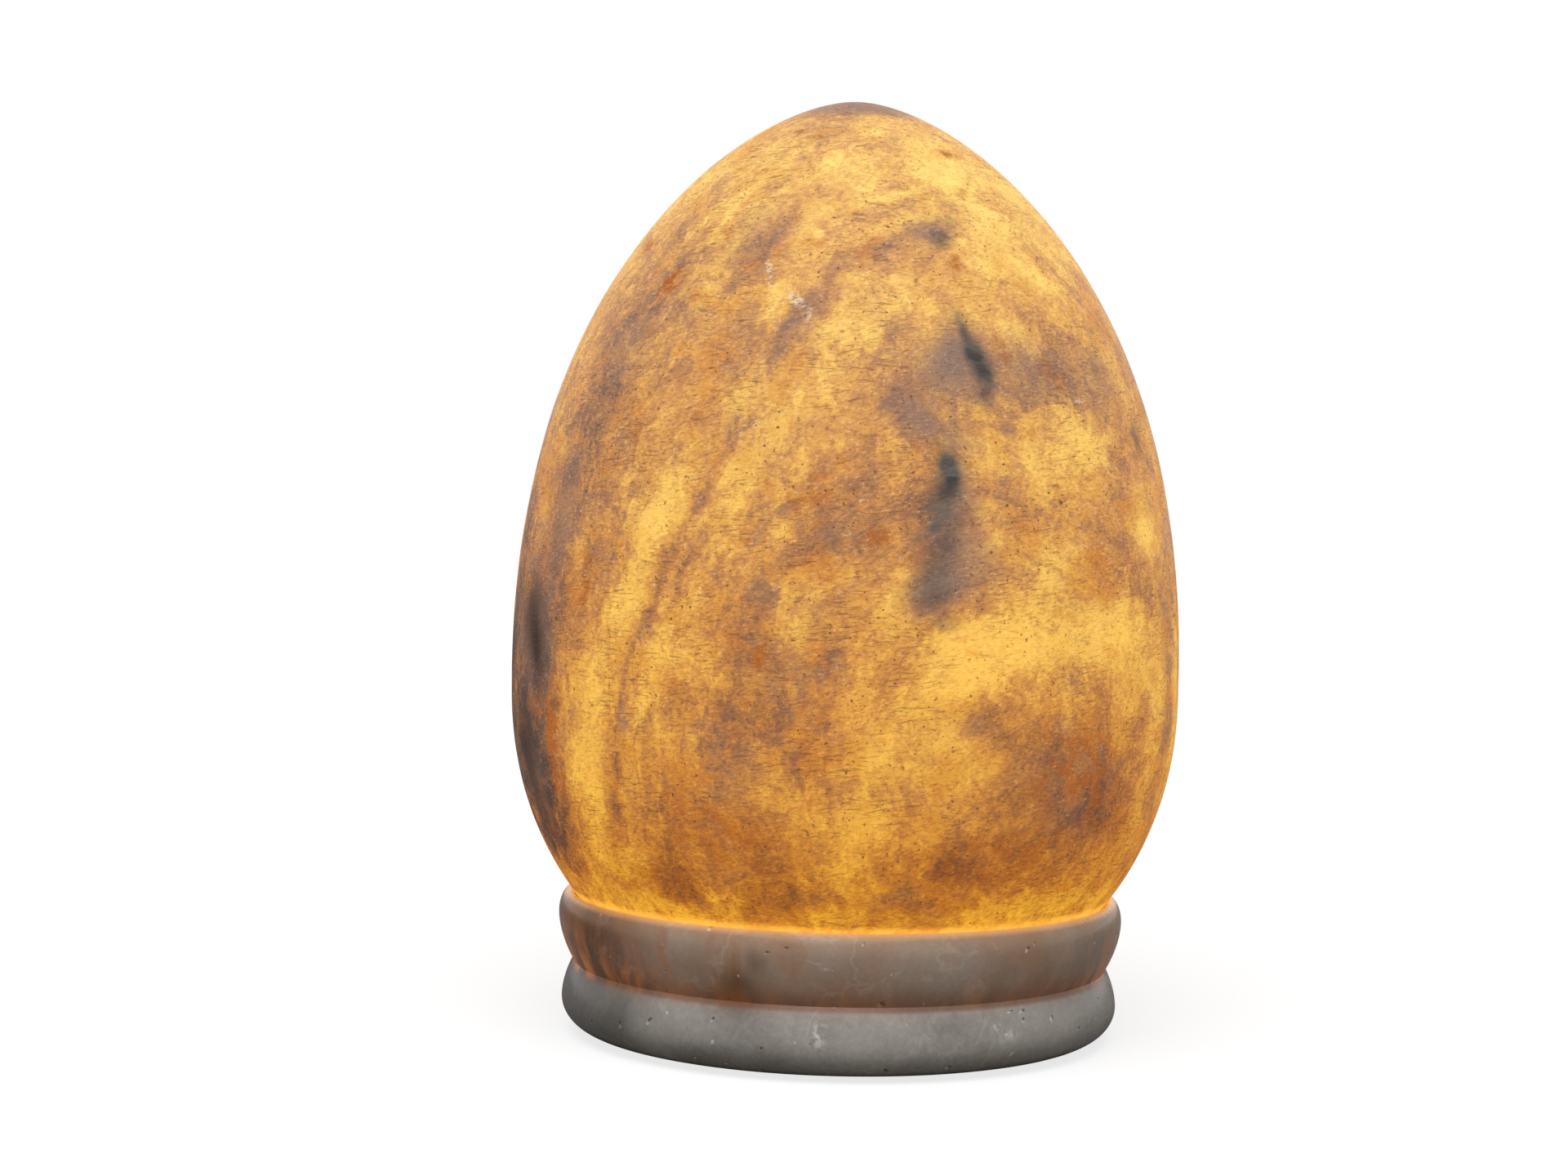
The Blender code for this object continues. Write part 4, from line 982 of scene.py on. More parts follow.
class LAMP_OT_egg(bpy.types.Operator):
    """Carve the hollow onyx egg"""

    bl_idname = "egg_lamp.egg"
    bl_label = "Onyx egg"

    def execute(self, context):
        egg = sizes("egg")
        finished("onyx_egg", "egg_shell", egg_mesh(egg), AmberOnyx(egg), "egg", 60)
        return {"FINISHED"}


# The base


BEAD_POWER = 1.8
BEAD_POINTS = 14
RIM_POINTS = 12


def bead(crest, valley):
    """Points from a bead's crest to the groove beside it, the crest left out."""
    points = []
    for step in range(1, BEAD_POINTS + 1):
        share = step / BEAD_POINTS
        inward = (crest[0] - valley[0]) * share**BEAD_POWER
        points.append((crest[0] - inward, crest[1] + (valley[1] - crest[1]) * share))
    return points


BASE_STEPS = 240
GAP = 0.3 * MM
SEAT_AIR = 0.4 * MM
RIM_AIR = 0.5 * MM
SEAT_POINTS = 8
FOOT_HEIGHT = 0.8 * MM
FOOT_ROUNDING = 7.8 * MM
RECESS_WALL = 16 * MM
RECESS_ROOF = 14.5 * MM
WELL_FLOOR = 20 * MM
WELL_RADIUS = 41.1 * MM
WELL_CORNER = 4 * MM
TUBE_HOLE = 5.3 * MM
FLEX_HOLE = 4.4 * MM
FLEX_FLAT = 5.9 * MM
FLEX_FLAT_DEPTH = 2.1 * MM
EASE = 0.3 * MM


def base_mesh(base, egg):
    """The turned base with its seat, light well and recess."""
    rim = (egg_radius(egg, base.rim_height) + RIM_AIR, base.rim_height)
    upper = (base.upper_radius, base.upper_crest)
    groove = (base.groove_radius, base.groove)
    lower = (base.lower_radius, base.lower_crest)
    foot = (base.lower_radius - FOOT_ROUNDING, FOOT_HEIGHT)
    outside = [rim] + quarter(rim, upper, RIM_POINTS, True) + bead(upper, groove)
    outside += list(reversed(bead(lower, groove)))[1:] + [lower] + quarter(lower, foot, BEAD_POINTS, False)
    felt_radius, _, felt_top = reach_of("felt_pad")
    rebate = felt_radius + GAP
    recess = base.lower_radius - RECESS_WALL
    underside = [(rebate, FOOT_HEIGHT), (rebate, felt_top + GAP), (recess, felt_top + GAP)]
    underside += [(recess, RECESS_ROOF - 2 * EASE), (recess - 2 * EASE, RECESS_ROOF)]
    underside += [(TUBE_HOLE, RECESS_ROOF), (TUBE_HOLE, WELL_FLOOR - EASE), (TUBE_HOLE + EASE, WELL_FLOOR)]
    ledge = egg.mouth - GAP
    corner_foot = (WELL_RADIUS - WELL_CORNER, WELL_FLOOR)
    corner_top = (WELL_RADIUS, (WELL_FLOOR + ledge) / 2)
    well = [corner_foot] + quarter(corner_foot, corner_top, 8, True)
    well += [(WELL_RADIUS, ledge - EASE), (WELL_RADIUS + EASE, ledge)]
    seat = []
    for step in range(SEAT_POINTS):
        height = ledge + (base.rim_height - EASE - ledge) * step / (SEAT_POINTS - 1)
        seat.append((egg_radius(egg, height) + SEAT_AIR, height))
    return lathe(outside + underside + well + seat, BASE_STEPS)


# Dark smudges in the stone: centre and radii in mm, strength
BASE_SMUDGES = (
    ((-22, -58, 19), (6, 20, 9), 0.74),
    ((-17, -59, 25), (3, 20, 6), 0.40),
    ((-30, -56, 5), (12, 20, 5), 0.30),
    ((24, -58, 12), (9, 20, 5), 0.32),
    ((44, -46, 22), (6, 18, 8), 0.28),
    ((-48, -40, 8), (8, 16, 6), 0.35),
    ((20, 58, 22), (16, 20, 8), 0.45),
)

# Painted highlights on the beads: white spots where the light glints, in the same way
BASE_PAINTED_HIGHLIGHTS = (
    ((-3.2, -62, 9.5), (3.0, 8, 4.6), 0.55),
    ((-2.6, -62, 25), (3.4, 8, 0.8), 0.50),
    ((36, -51, 9.8), (2.0, 8, 2.0), 0.45),
    ((34, -52, 11.8), (1.4, 8, 1.4), 0.40),
    ((-6, -62, 26.5), (5.0, 8, 0.7), 0.35),
    ((-30, 55, 9), (4.0, 8, 3.0), 0.45),
)


GREY_TONES = ((0.15, paint(116, 111, 104)), (0.42, paint(152, 147, 140)), (0.85, paint(194, 190, 182)))
WARM_GREY = paint(166, 132, 104)
LEFT_END_PAINTED_SHADE = paint(150, 88, 44)
VEIN_PALE = paint(205, 196, 184)
STREAK_BROWN = paint(128, 82, 48)
SMUDGE_DARK = paint(66, 58, 52)
PAINTED_HIGHLIGHT_WHITE = paint(244, 242, 238)
GLINT_WHITE = paint(236, 232, 226)
BASE_PIT_DARK = paint(52, 46, 42)
# Painted shade in the groove, under the upper bead
GROOVE_PAINTED_SHADE = paint(112, 68, 36)
# Painted shade at the foot, towards the floor
FOOT_PAINTED_SHADE = paint(100, 78, 58)
SEEP_AMBER = paint(232, 134, 52)
SEEP_RIM = paint(250, 180, 104)
RIM_LIGHT = 0.36


class GreyOnyx(Finish):
    """Polished grey onyx: cloudy, a little see-through, with the egg's light in the groove and on the rim."""

    def __init__(self, base):
        super().__init__("grey_onyx", roughness=0.22)
        self.x, _, self.z = self.parts()
        self.drift = self.warped(40, 14 * MM)
        self.fine_drift = self.warped(300, 2 * MM, self.drift)
        self.clouds = self.noise(34, 7.0, 0.62, self.drift)
        self.grain = self.noise(700, 5.0, 0.70)
        colour = self.marked(self.clouded(tuple(base.stone)))
        above_groove = self.rise(self.z, 0.0146, 0.0156)
        # Brown on the upper bead's underside above the groove: painted shade where the stone faces down
        colour = self.mix(above_groove * self.rise(self.z, 0.0160, 0.0215, 0.62, 0.0), colour, GROOVE_PAINTED_SHADE)
        # Darker towards the floor: painted shade under the lower bead
        colour = self.mix(self.rise(self.z, 0.0005, 0.0070, 0.42, 0.0), colour, FOOT_PAINTED_SHADE)
        # Darker towards the left end: painted shade, the light coming from the right
        self.set("Base Color", self.scaled(colour, self.rise(self.x, -0.062, -0.030, 0.40, 1.0)))
        self.set("Specular IOR Level", 0.16)
        self.seep(above_groove)
        self.set("Roughness", self.rise(self.grain, 0.3, 0.7, 0.15, 0.32))
        relief = (self.grain - 0.5) * 0.3 - self.pits * 1.5 + (self.clouds - 0.5) * 0.9
        self.set("Normal", self.bump(relief, 0.4, 0.0003))

    def clouded(self, main):
        """Grey clouds, warmer above the groove, browner at the left as painted shade, with pale veins and
        brown streaks.
        """
        veins = self.rise(abs(self.noise(26, 5.0, 0.62, self.fine_drift) - 0.5), 0.0, 0.016, 1.0, 0.0)
        tone = (self.clouds - 0.5) * 1.0 + (self.grain - 0.5) * 0.42 + 0.5
        colour = self.ramp(tone, sorted((*GREY_TONES, (0.60, main))))
        warm = self.rise(self.z, 0.0125, 0.0185)
        colour = self.mix(warm * self.rise(self.clouds, 0.35, 0.65, 0.80, 0.45), colour, WARM_GREY)
        # Brown at the left end of the upper bead: painted shade
        colour = self.mix(warm * self.rise(self.x, -0.062, -0.026, 0.75, 0.0), colour, LEFT_END_PAINTED_SHADE)
        colour = self.mix(veins * 0.22, colour, VEIN_PALE)
        self.upright = self.noise(1.0, 5.0, 0.62, self.vector("MULTIPLY", self.drift, (130, 130, 22)))
        stains = self.rise(self.upright, 0.48, 0.68) * self.rise(self.x, -0.030, 0.000, 0.50, 0.14) * warm
        return self.mix(stains, colour, STREAK_BROWN)

    def marked(self, colour):
        """Dark smudges, painted highlights as white spots, and small pits beside painted bright glints."""
        for centre, radii, strength in BASE_SMUDGES:
            near = self.spot(self.fine_drift, centre, radii)
            colour = self.mix(near * strength, colour, SMUDGE_DARK)
        grains = self.rise(self.grain, 0.42, 0.56)
        # White spots standing for painted highlights
        for centre, radii, strength in BASE_PAINTED_HIGHLIGHTS:
            near = self.spot(self.fine_drift, centre, radii)
            colour = self.mix(near * grains * strength, colour, PAINTED_HIGHLIGHT_WHITE)
        self.pits = pitted(self, self.vector("ADD", self.fine_drift, (0.002, 0.004, 0.001)), BASE_PITS)
        glints = pitted(self, self.vector("ADD", self.fine_drift, (0.0026, 0.0044, 0.0014)), BASE_PITS)
        colour = self.mix(glints * 0.55, colour, GLINT_WHITE)
        return self.mix(self.pits * 0.72, colour, BASE_PIT_DARK)

    def seep(self, above_groove):
        """The egg's light that comes through the stone: in the groove, in the upper bead and at the rim."""
        groove = above_groove * self.rise(self.z, 0.0155, 0.0226, 1.0, 0.0)
        body = self.rise(self.z, 0.012, 0.021) * self.rise(self.z, 0.024, 0.030, 1.0, 0.35)
        rim = self.rise(self.z, 0.0304, 0.0318)
        under_rim = self.rise(self.z, 0.0262, 0.0318)
        sides = self.rise(self.x, -0.062, -0.025, 1.5, 0.30) + self.rise(self.x, 0.030, 0.062, 0.0, 0.35)
        streaks = self.rise(self.upright, 0.40, 0.62, 0.15, 1.60)
        light = (groove * 0.08 + body * 0.08) * sides * streaks + groove * 0.02 + rim * RIM_LIGHT
        light = light + under_rim * self.rise(self.x, -0.050, 0.010, 0.06, 0.05)
        shine = self.mix(under_rim, SEEP_AMBER, SEEP_RIM)
        self.set("Emission Color", self.scaled(shine, light))
        self.set("Emission Strength", 1.0)


class LAMP_OT_base(bpy.types.Operator):
    """Turn the grey stone base"""

    bl_idname = "egg_lamp.base"
    bl_label = "Stone base"

    def execute(self, context):
        base = sizes("base")
        turned = base_mesh(base, sizes("egg"))
        piece = finished("stone_base", "onyx_base", turned, GreyOnyx(base), "base", 40)
        inside = base.lower_radius - RECESS_WALL - FLEX_HOLE
        flat = base.lower_radius - FLEX_FLAT_DEPTH
        outside = base.lower_radius + FLEX_HOLE
        hole = [(0.0, inside), (FLEX_HOLE, inside), (FLEX_HOLE, flat), (FLEX_FLAT, flat)]
        hole += [(FLEX_FLAT, outside), (0.0, outside)]
        turn = Matrix.Translation((0, 0, base.lower_crest)) @ Matrix.Rotation(math.radians(-90), 4, "X")
        drill(piece, hole, turn)
        return {"FINISHED"}


# Finishes of the fittings


def metal(name, colour, roughness, wear=0.25):
    """Plated or drawn metal with fine wear."""
    made = Finish(name, roughness, 1.0)
    fine = made.noise(700, 5.0, 0.7)
    broad = made.noise(120, 4.0, 0.6)
    darker = tuple(channel * 0.72 for channel in colour)
    made.set("Base Color", made.mix(made.rise(broad, 0.35, 0.75, 0.0, wear), colour, darker))
    made.set("Roughness", made.rise(fine, 0.3, 0.7, roughness - 0.06, roughness + 0.12))
    made.set("Normal", made.bump(fine, 0.25, 0.00008))
    return made


def moulded(name, colour, roughness, depth=0.00006):
    """Moulded plastic, rubber or glazed ware, a little uneven."""
    made = Finish(name, roughness)
    fine = made.noise(1500, 3.0, 0.6)
    broad = made.noise(90, 4.0, 0.6)
    darker = tuple(channel * 0.86 for channel in colour)
    made.set("Base Color", made.mix(made.rise(broad, 0.35, 0.7), colour, darker))
    made.set("Roughness", made.rise(broad, 0.3, 0.7, roughness - 0.05, roughness + 0.08))
    made.set("Normal", made.bump(fine, 0.3, depth))
    return made


def felt_finish():
    """Green felt, matted fibres."""
    felt = Finish("green_felt", 0.95)
    fibres = felt.noise(900, 6.0, 0.75, distortion=1.5)
    broad = felt.noise(70, 4.0)
    stops = ((0.25, paint(20, 44, 30)), (0.55, paint(40, 84, 56)), (0.8, paint(78, 120, 90)))
    colour = felt.ramp(fibres, stops)
    felt.set("Base Color", felt.mix(felt.rise(broad, 0.4, 0.7, 0.0, 0.4), colour, paint(28, 62, 42)))
    felt.set("Sheen Weight", 0.4)
    felt.set("Normal", felt.bump(fibres, 0.8, 0.0004))
    return felt


def clear_glass():
    """Thin clear glass: see-through, with a gloss at grazing angles."""
    glass = Finish("clear_glass", 0.04)
    smear = glass.noise(60, 4.0, 0.6)
    glass.set("Base Color", paint(250, 250, 248))
    glass.set("Transmission Weight", 1.0)
    glass.set("IOR", 1.12)
    glass.set("Roughness", glass.rise(smear, 0.3, 0.8, 0.02, 0.08))
    return glass


def hot_filament(holder):
    """Tungsten, glowing."""
    wire = Finish("hot_filament", 0.4, 1.0)
    heat = wire.noise(400, 2.0)
    wire.set("Base Color", paint(120, 110, 100))
    wire.set("Emission Color", wire.ramp(heat, ((0.3, paint(255, 190, 110)), (0.7, paint(255, 226, 170)))))
    wire.set("Emission Strength", holder.filament_light)
    return wire


FINISH_MAKERS = {
    "zinc": lambda: metal("zinc", paint(205, 207, 210), 0.32),
    "brass": lambda: metal("brass", paint(222, 190, 122), 0.26),
    "spring_bronze": lambda: metal("spring_bronze", paint(206, 150, 104), 0.3),
    "nickel": lambda: metal("nickel", paint(214, 210, 202), 0.24),
    "solder": lambda: metal("solder", paint(190, 190, 188), 0.42, 0.5),
    "porcelain": lambda: moulded("porcelain", paint(236, 233, 226), 0.28),
    "holder_plastic": lambda: moulded("holder_plastic", tuple(sizes("holder").plastic), 0.38),
    "black_glass": lambda: moulded("black_glass", paint(24, 24, 27), 0.14),
    "rubber": lambda: moulded("rubber", paint(30, 29, 28), 0.62),
    "green_felt": felt_finish,
    "clear_glass": clear_glass,
    "hot_filament": lambda: hot_filament(sizes("holder")),
}
FINISHES_MADE = {}


def shared(name):
    """A finish that several fittings may wear, made when it is first asked for."""
    if name not in FINISHES_MADE:
        FINISHES_MADE[name] = FINISH_MAKERS[name]()
    return FINISHES_MADE[name]


def carry_over(pairs):
    """Dresses solids that keep their own shape."""
    for node, finish in pairs:
        put_on(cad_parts[node], shared(finish))


def fitted(name, node, bm, finish, body, sharp=32):
    """A finer piece that wears a shared finish."""
    return finished(name, node, bm, shared(finish), body, sharp)


# The hardware

TUBE_PITCH = 1.0 * MM
TUBE_THREAD_SWING = 0.16 * MM
TUBE_ROWS_PER_TURN = 8
TUBE_WALL = 1.0 * MM
ROW_SLACK = 0.001 * MM
GROMMET_WALL = 0.9 * MM
GROMMET_FLANGE = 1.0 * MM
GROMMET_FLANGE_THICKNESS = 1.2 * MM
GROMMET_LIP = 0.7 * MM
BUSH_WALL = 0.6 * MM
BUSH_FLANGE = 1.0 * MM
BUSH_STEPS = 64
FELT_FRAY = 0.25 * MM
FRAYS_A_METRE = 900
FELT_STEPS = 200
NUT_SLANT = math.radians(30)
NUT_FLAT_SHARE = 0.96


def roll_thread(bm, radius, swing, pitch, low, high, start, run_out=0.0):
    """Presses a right-handed thread into the rows at that radius, between two heights. It fades at both."""
    low, high = low - ROW_SLACK, high + ROW_SLACK
    for vert in bm.verts:
        here = math.hypot(vert.co.x, vert.co.y)
        if abs(here - radius) > SAME_PLACE or not low <= vert.co.z <= high:
            continue
        run_in = min((vert.co.z - low) / pitch, (high - vert.co.z) / pitch, 0.5) * 2
        wave = math.cos(math.atan2(vert.co.y, vert.co.x) - math.tau * (vert.co.z - start) / pitch)
        grown = (radius + run_out * (1 - run_in) + swing * run_in * wave) / here
        vert.co = (vert.co.x * grown, vert.co.y * grown, vert.co.z)


def thread_rows(radius, low, high, pitch, rows_per_turn):
    """Points up a plain wall, close enough together to take the thread."""
    count = round((high - low) / pitch * rows_per_turn)
    return [(radius, low + (high - low) * row / count) for row in range(count + 1)]


def washer(inner, outer, bottom, top):
    """A flat ring with eased edges."""
    return lathe(softened([(inner, bottom), (outer, bottom), (outer, top), (inner, top)], EASE), FINE)


def nut(half_width, bottom, top):
    """A hexagon nut, its corners turned off at a slant above and below."""
    corner = half_width / math.cos(math.pi / 6)
    flat_edge = half_width * NUT_FLAT_SHARE
    slant = (corner - flat_edge) * math.tan(NUT_SLANT)
    outline = [(TUBE_HOLE, bottom + EASE), (TUBE_HOLE + EASE, bottom), (flat_edge, bottom)]
    outline += [(corner, bottom + slant), (corner, top - slant)]
    outline += [(flat_edge, top), (TUBE_HOLE + EASE, top), (TUBE_HOLE, top - EASE)]
    bm = lathe(outline, FINE)
    for index in range(6):
        angle = math.tau * index / 6
        outward = Vector((math.cos(angle), math.sin(angle), 0))
        whole = bm.verts[:] + bm.edges[:] + bm.faces[:]
        found = bmesh.ops.bisect_plane(
            bm, geom=whole, dist=SAME_PLACE, plane_co=outward * half_width, plane_no=outward, clear_outer=True
        )
        rim = [item for item in found["geom_cut"] if isinstance(item, bmesh.types.BMEdge)]
        bmesh.ops.edgeloop_fill(bm, edges=rim)
    bmesh.ops.recalc_face_normals(bm, faces=bm.faces)
    return bm


def threaded_tube():
    """The lamp tube, its fine thread rolled over the whole length."""
    radius, bottom, top = reach_of("threaded_tube")
    bore = radius - TUBE_WALL
    middle = radius - TUBE_THREAD_SWING
    chamfer = TUBE_WALL / 3
    low, high = bottom + chamfer, top - chamfer
    rows = thread_rows(middle, low, high, TUBE_PITCH, TUBE_ROWS_PER_TURN)
    outline = [(bore, bottom), (radius - chamfer, bottom)] + rows + [(radius - chamfer, top), (bore, top)]
    bm = lathe(outline, COARSE)
    roll_thread(bm, middle, TUBE_THREAD_SWING, TUBE_PITCH, low, high, bottom)
    return bm


def bush():
    """The plastic bush that keeps the tube's edge off the flex."""
    radius, bottom, top = reach_of("tube_bush")
    sleeve = reach_of("threaded_tube")[0] - TUBE_WALL - GAP
    bore = sleeve - BUSH_WALL
    flange = bottom + BUSH_FLANGE
    outline = [(bore, bottom), (radius, bottom), (radius, flange)]
    outline += [(sleeve, flange), (sleeve, top), (bore, top)]
    return lathe(softened(outline, EASE), BUSH_STEPS)


def grommet():
    """The rubber grommet, its flange and lip rounded."""
    low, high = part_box("cord_grommet")
    flange = high[0]
    sleeve = flange - GROMMET_FLANGE
    bore = sleeve - GROMMET_WALL
    face = high[1] - GROMMET_FLANGE_THICKNESS
    lip_end = low[1] + GROMMET_LIP
    outline = [(bore, low[1]), (sleeve, low[1]), (sleeve + GROMMET_LIP, lip_end), (sleeve, lip_end)]
    outline += [(sleeve, face), (flange, face), (flange, high[1]), (bore, high[1])]
    bm = lathe(softened(outline, 1.5 * EASE), FINE)
    turn = Matrix.Translation((0, 0, (low[2] + high[2]) / 2)) @ Matrix.Rotation(math.radians(-90), 4, "X")
    bmesh.ops.transform(bm, matrix=turn, verts=bm.verts)
    return bm


def felt():
    """The felt disc, its cut edge a little frayed."""
    radius, bottom, top = reach_of("felt_pad")
    outline = softened([(0.0, bottom), (radius, bottom), (radius, top), (0.0, top)], EASE)
    bm = lathe(outline, FELT_STEPS)
    for vert in bm.verts:
        if math.hypot(vert.co.x, vert.co.y) > radius - 2 * EASE:
            fray = abs(noise.noise(vert.co * FRAYS_A_METRE)) * FELT_FRAY / radius
            vert.co = (vert.co.x * (1 - fray), vert.co.y * (1 - fray), vert.co.z)
    return bm


class LAMP_OT_foot(bpy.types.Operator):
    """Put the felt under the base and the grommet in its back"""

    bl_idname = "egg_lamp.foot"
    bl_label = "Felt and grommet"

    def execute(self, context):
        fitted("felt_disc", "felt_pad", felt(), "green_felt", "base")
        fitted("flex_grommet", "cord_grommet", grommet(), "rubber", "base")
        return {"FINISHED"}


class LAMP_OT_hardware(bpy.types.Operator):
    """Fit the lamp tube through the stone with its washers and nuts"""

    bl_idname = "egg_lamp.hardware"
    bl_label = "Tube, washers and nuts"

    def execute(self, context):
        fitted("lamp_tube", "threaded_tube", threaded_tube(), "zinc", "base", 60)
        fitted("end_bush", "tube_bush", bush(), "holder_plastic", "base")
        for node in ("base_washer", "top_washer"):
            fitted(node + "_turned", node, washer(TUBE_HOLE, *reach_of(node)), "zinc", "base")
        for node in ("tube_nut", "top_nut"):
            fitted(node + "_cut", node, nut(*reach_of(node)), "brass", "base", 20)
        carry_over([("lock_washer", "zinc")])
        return {"FINISHED"}


# The lampholder

BOSS_WALL = 2.2 * MM
BOSS_LENGTH = 6 * MM
CAP_FLARE = 2.5 * MM
SPIGOT_LENGTH = 3.6 * MM
SPIGOT_WALL = 1.5 * MM
SKIRT_WALL = 1.8 * MM
SKIRT_TAPER = 3.5 * MM
SKIRT_AIR = 1.8 * MM
LOCK_SCREW_HOLE = 1.7 * MM
THREAD_SWING = 0.40 * MM
THREAD_RUN_OUT = 0.25 * MM
THREAD_ROWS_PER_TURN = 20
SHEET = 0.5 * MM
SHELL_FLOOR_OPENING = 5.2 * MM


def cap_mesh():
    """The holder's lower half: a boss, a rounded dome and the spigot for the skirt."""
    radius, bottom, top = reach_of("holder_cap")
    boss = TUBE_HOLE + BOSS_WALL
    boss_top = bottom + BOSS_LENGTH
    spigot_radius = radius - SKIRT_WALL - GAP
    spigot = top - SPIGOT_LENGTH
    cavity = spigot_radius - SPIGOT_WALL
    lower = [(TUBE_HOLE, bottom), (boss, bottom), (boss, boss_top), (radius - CAP_FLARE, boss_top)]
    dome = quarter(lower[-1], (radius, boss_top + CAP_FLARE), 10, True)
    upper = [(radius, spigot), (spigot_radius, spigot), (spigot_radius, top), (cavity, top)]
    upper += [(cavity, boss_top + SKIRT_WALL), (TUBE_HOLE, boss_top + SKIRT_WALL)]
    return lathe(softened(lower + dome + upper, EASE), FINE)


def skirt_mesh():
    """The holder's outer shell, its shoulder and mouth rounded."""
    radius, bottom, top = reach_of("holder_skirt")
    shoulder = reach_of("holder_core")[2] + GAP
    upper_bore = reach_of("screw_shell")[0] + SKIRT_AIR
    upper = upper_bore + SKIRT_WALL
    lower_bore = radius - SKIRT_WALL
    outline = [(lower_bore, bottom), (radius, bottom), (radius, shoulder), (upper, shoulder + SKIRT_TAPER)]
    outline += [(upper, top), (upper_bore, top), (upper_bore, shoulder), (lower_bore, shoulder)]
    return lathe(softened(outline, 2 * EASE), FINE)


def shell_mesh(pitch):
    """The brass screw shell with its thread inside."""
    outer, bottom, top = reach_of("screw_shell")
    radius = outer - SHEET - THREAD_SWING
    low = bottom + 2 * SHEET
    high = top - pitch / 2
    rows = thread_rows(radius, low, high, pitch, THREAD_ROWS_PER_TURN)
    outline = [(SHELL_FLOOR_OPENING, bottom), (outer, bottom), (outer, top), (radius + THREAD_SWING, top)]
    outline += reversed(rows)
    outline += [(radius - THREAD_SWING, bottom + SHEET), (SHELL_FLOOR_OPENING, bottom + SHEET)]
    bm = lathe(outline, FINE)
    start = reach_of("bulb_tip_contact")[1]
    roll_thread(bm, radius, THREAD_SWING, pitch, low, high, start, THREAD_RUN_OUT)
    return bm


class LAMP_OT_holder(bpy.types.Operator):
    """Build the lampholder inside the egg"""

    bl_idname = "egg_lamp.holder"
    bl_label = "Lampholder"

    def execute(self, context):
        cap = fitted("cap_dome", "holder_cap", cap_mesh(), "holder_plastic", "base")
        boss_middle = reach_of("holder_cap")[1] + BOSS_LENGTH / 2
        outside = 2 * (TUBE_HOLE + BOSS_WALL)
        start = TUBE_HOLE - GAP
        hole = [(0.0, start), (LOCK_SCREW_HOLE, start), (LOCK_SCREW_HOLE, outside), (0.0, outside)]
        drill(cap, hole, Matrix.Translation((0, 0, boss_middle)) @ Matrix.Rotation(math.radians(90), 4, "Y"))
        fitted("outer_skirt", "holder_skirt", skirt_mesh(), "holder_plastic", "base")
        pitch = sizes("holder").pitch
        fitted("thread_shell", "screw_shell", shell_mesh(pitch), "brass", "base", 50)
        carry_over((("holder_core", "porcelain"), ("centre_contact", "spring_bronze")))
        carry_over((node, "brass") for node in ("centre_terminal", "side_terminal"))
        screws = ("cap_lock_screw", "centre_terminal_screw", "side_terminal_screw")
        carry_over((node, "zinc") for node in screws)
        return {"FINISHED"}


# The bulb

BULB_NECK = 5.3 * MM
BULB_WALL = 0.8 * MM
BULB_WIDEST_SHARE = 0.45
SHOULDER_POINTS = 24
CROWN_POINTS = 20
CAP_SHEET = 0.4 * MM
CAP_THREAD_LEAD = 0.6 * MM
CAP_COLLAR_LENGTH = 3 * MM
CAP_COLLAR_SWELL = 0.5 * MM
INSULATOR_FACE = 3.4 * MM
STEM_RADIUS = 1.9 * MM
STEM_PINCH = 2.6 * MM
STEM_SHARES = (0.06, 0.25, 0.80, 0.92)
COIL_RADIUS = 0.21 * MM
COIL_WIRE = 0.055 * MM
COIL_TURNS = 56
COIL_STEPS_PER_TURN = 10


def envelope(radius, neck, bottom, neck_top, top):
    """The glass's outline from the neck's lower end to the crown."""
    widest = neck_top + (top - neck_top) * BULB_WIDEST_SHARE
    points = [(neck, bottom)]
    for step in range(SHOULDER_POINTS + 1):
        share = step / SHOULDER_POINTS
        points.append((neck + (radius - neck) * crowded(share), neck_top + (widest - neck_top) * share))
    for step in range(1, CROWN_POINTS):
        angle = math.pi / 2 * step / CROWN_POINTS
        points.append((radius * math.cos(angle), widest + (top - widest) * math.sin(angle)))
    points.append((0.0, top))
    return points


def bulb_glass_mesh():
    """The clear envelope, a thin wall all over."""
    radius, bottom, top = reach_of("bulb_glass")
    neck_top = reach_of("bulb_cap")[2] + GAP
    outer = envelope(radius, BULB_NECK, bottom, neck_top, top)
    inner = envelope(radius - BULB_WALL, BULB_NECK - BULB_WALL, bottom, neck_top, top - BULB_WALL)
    return lathe(list(reversed(inner)) + outer, FINE)


def bulb_cap_mesh(pitch):
    """The nickelled cap with its thread and the collar that grips the glass."""
    collar, bottom, top = reach_of("bulb_cap")
    radius = collar - CAP_COLLAR_SWELL
    lip = radius - THREAD_SWING
    bore = lip - CAP_SHEET
    low = bottom + CAP_THREAD_LEAD
    high = top - CAP_COLLAR_LENGTH
    middle = (high + top) / 2
    outline = [(bore, bottom), (lip, bottom)] + thread_rows(radius, low, high, pitch, THREAD_ROWS_PER_TURN)
    outline += quarter((radius, high), (collar, middle), 5, False)
    outline += [(collar, top - EASE), (collar - EASE, top), (collar - 2 * CAP_SHEET, top)]
    outline += [(collar - 2 * CAP_SHEET, top - CAP_COLLAR_LENGTH / 3), (bore, high)]
    bm = lathe(outline, FINE)
    start = reach_of("bulb_tip_contact")[1]
    roll_thread(bm, radius, THREAD_SWING, pitch, low, high, start, -THREAD_RUN_OUT)
    return bm


def insulator_mesh():
    """The black glass between the cap and its end contact."""
    radius, bottom, top = reach_of("bulb_insulator")
    face = bottom + radius - INSULATOR_FACE - EASE
    outline = [(0.0, bottom), (INSULATOR_FACE, bottom), (radius, face), (radius, top), (0.0, top)]
    return lathe(softened(outline, EASE), FINE)


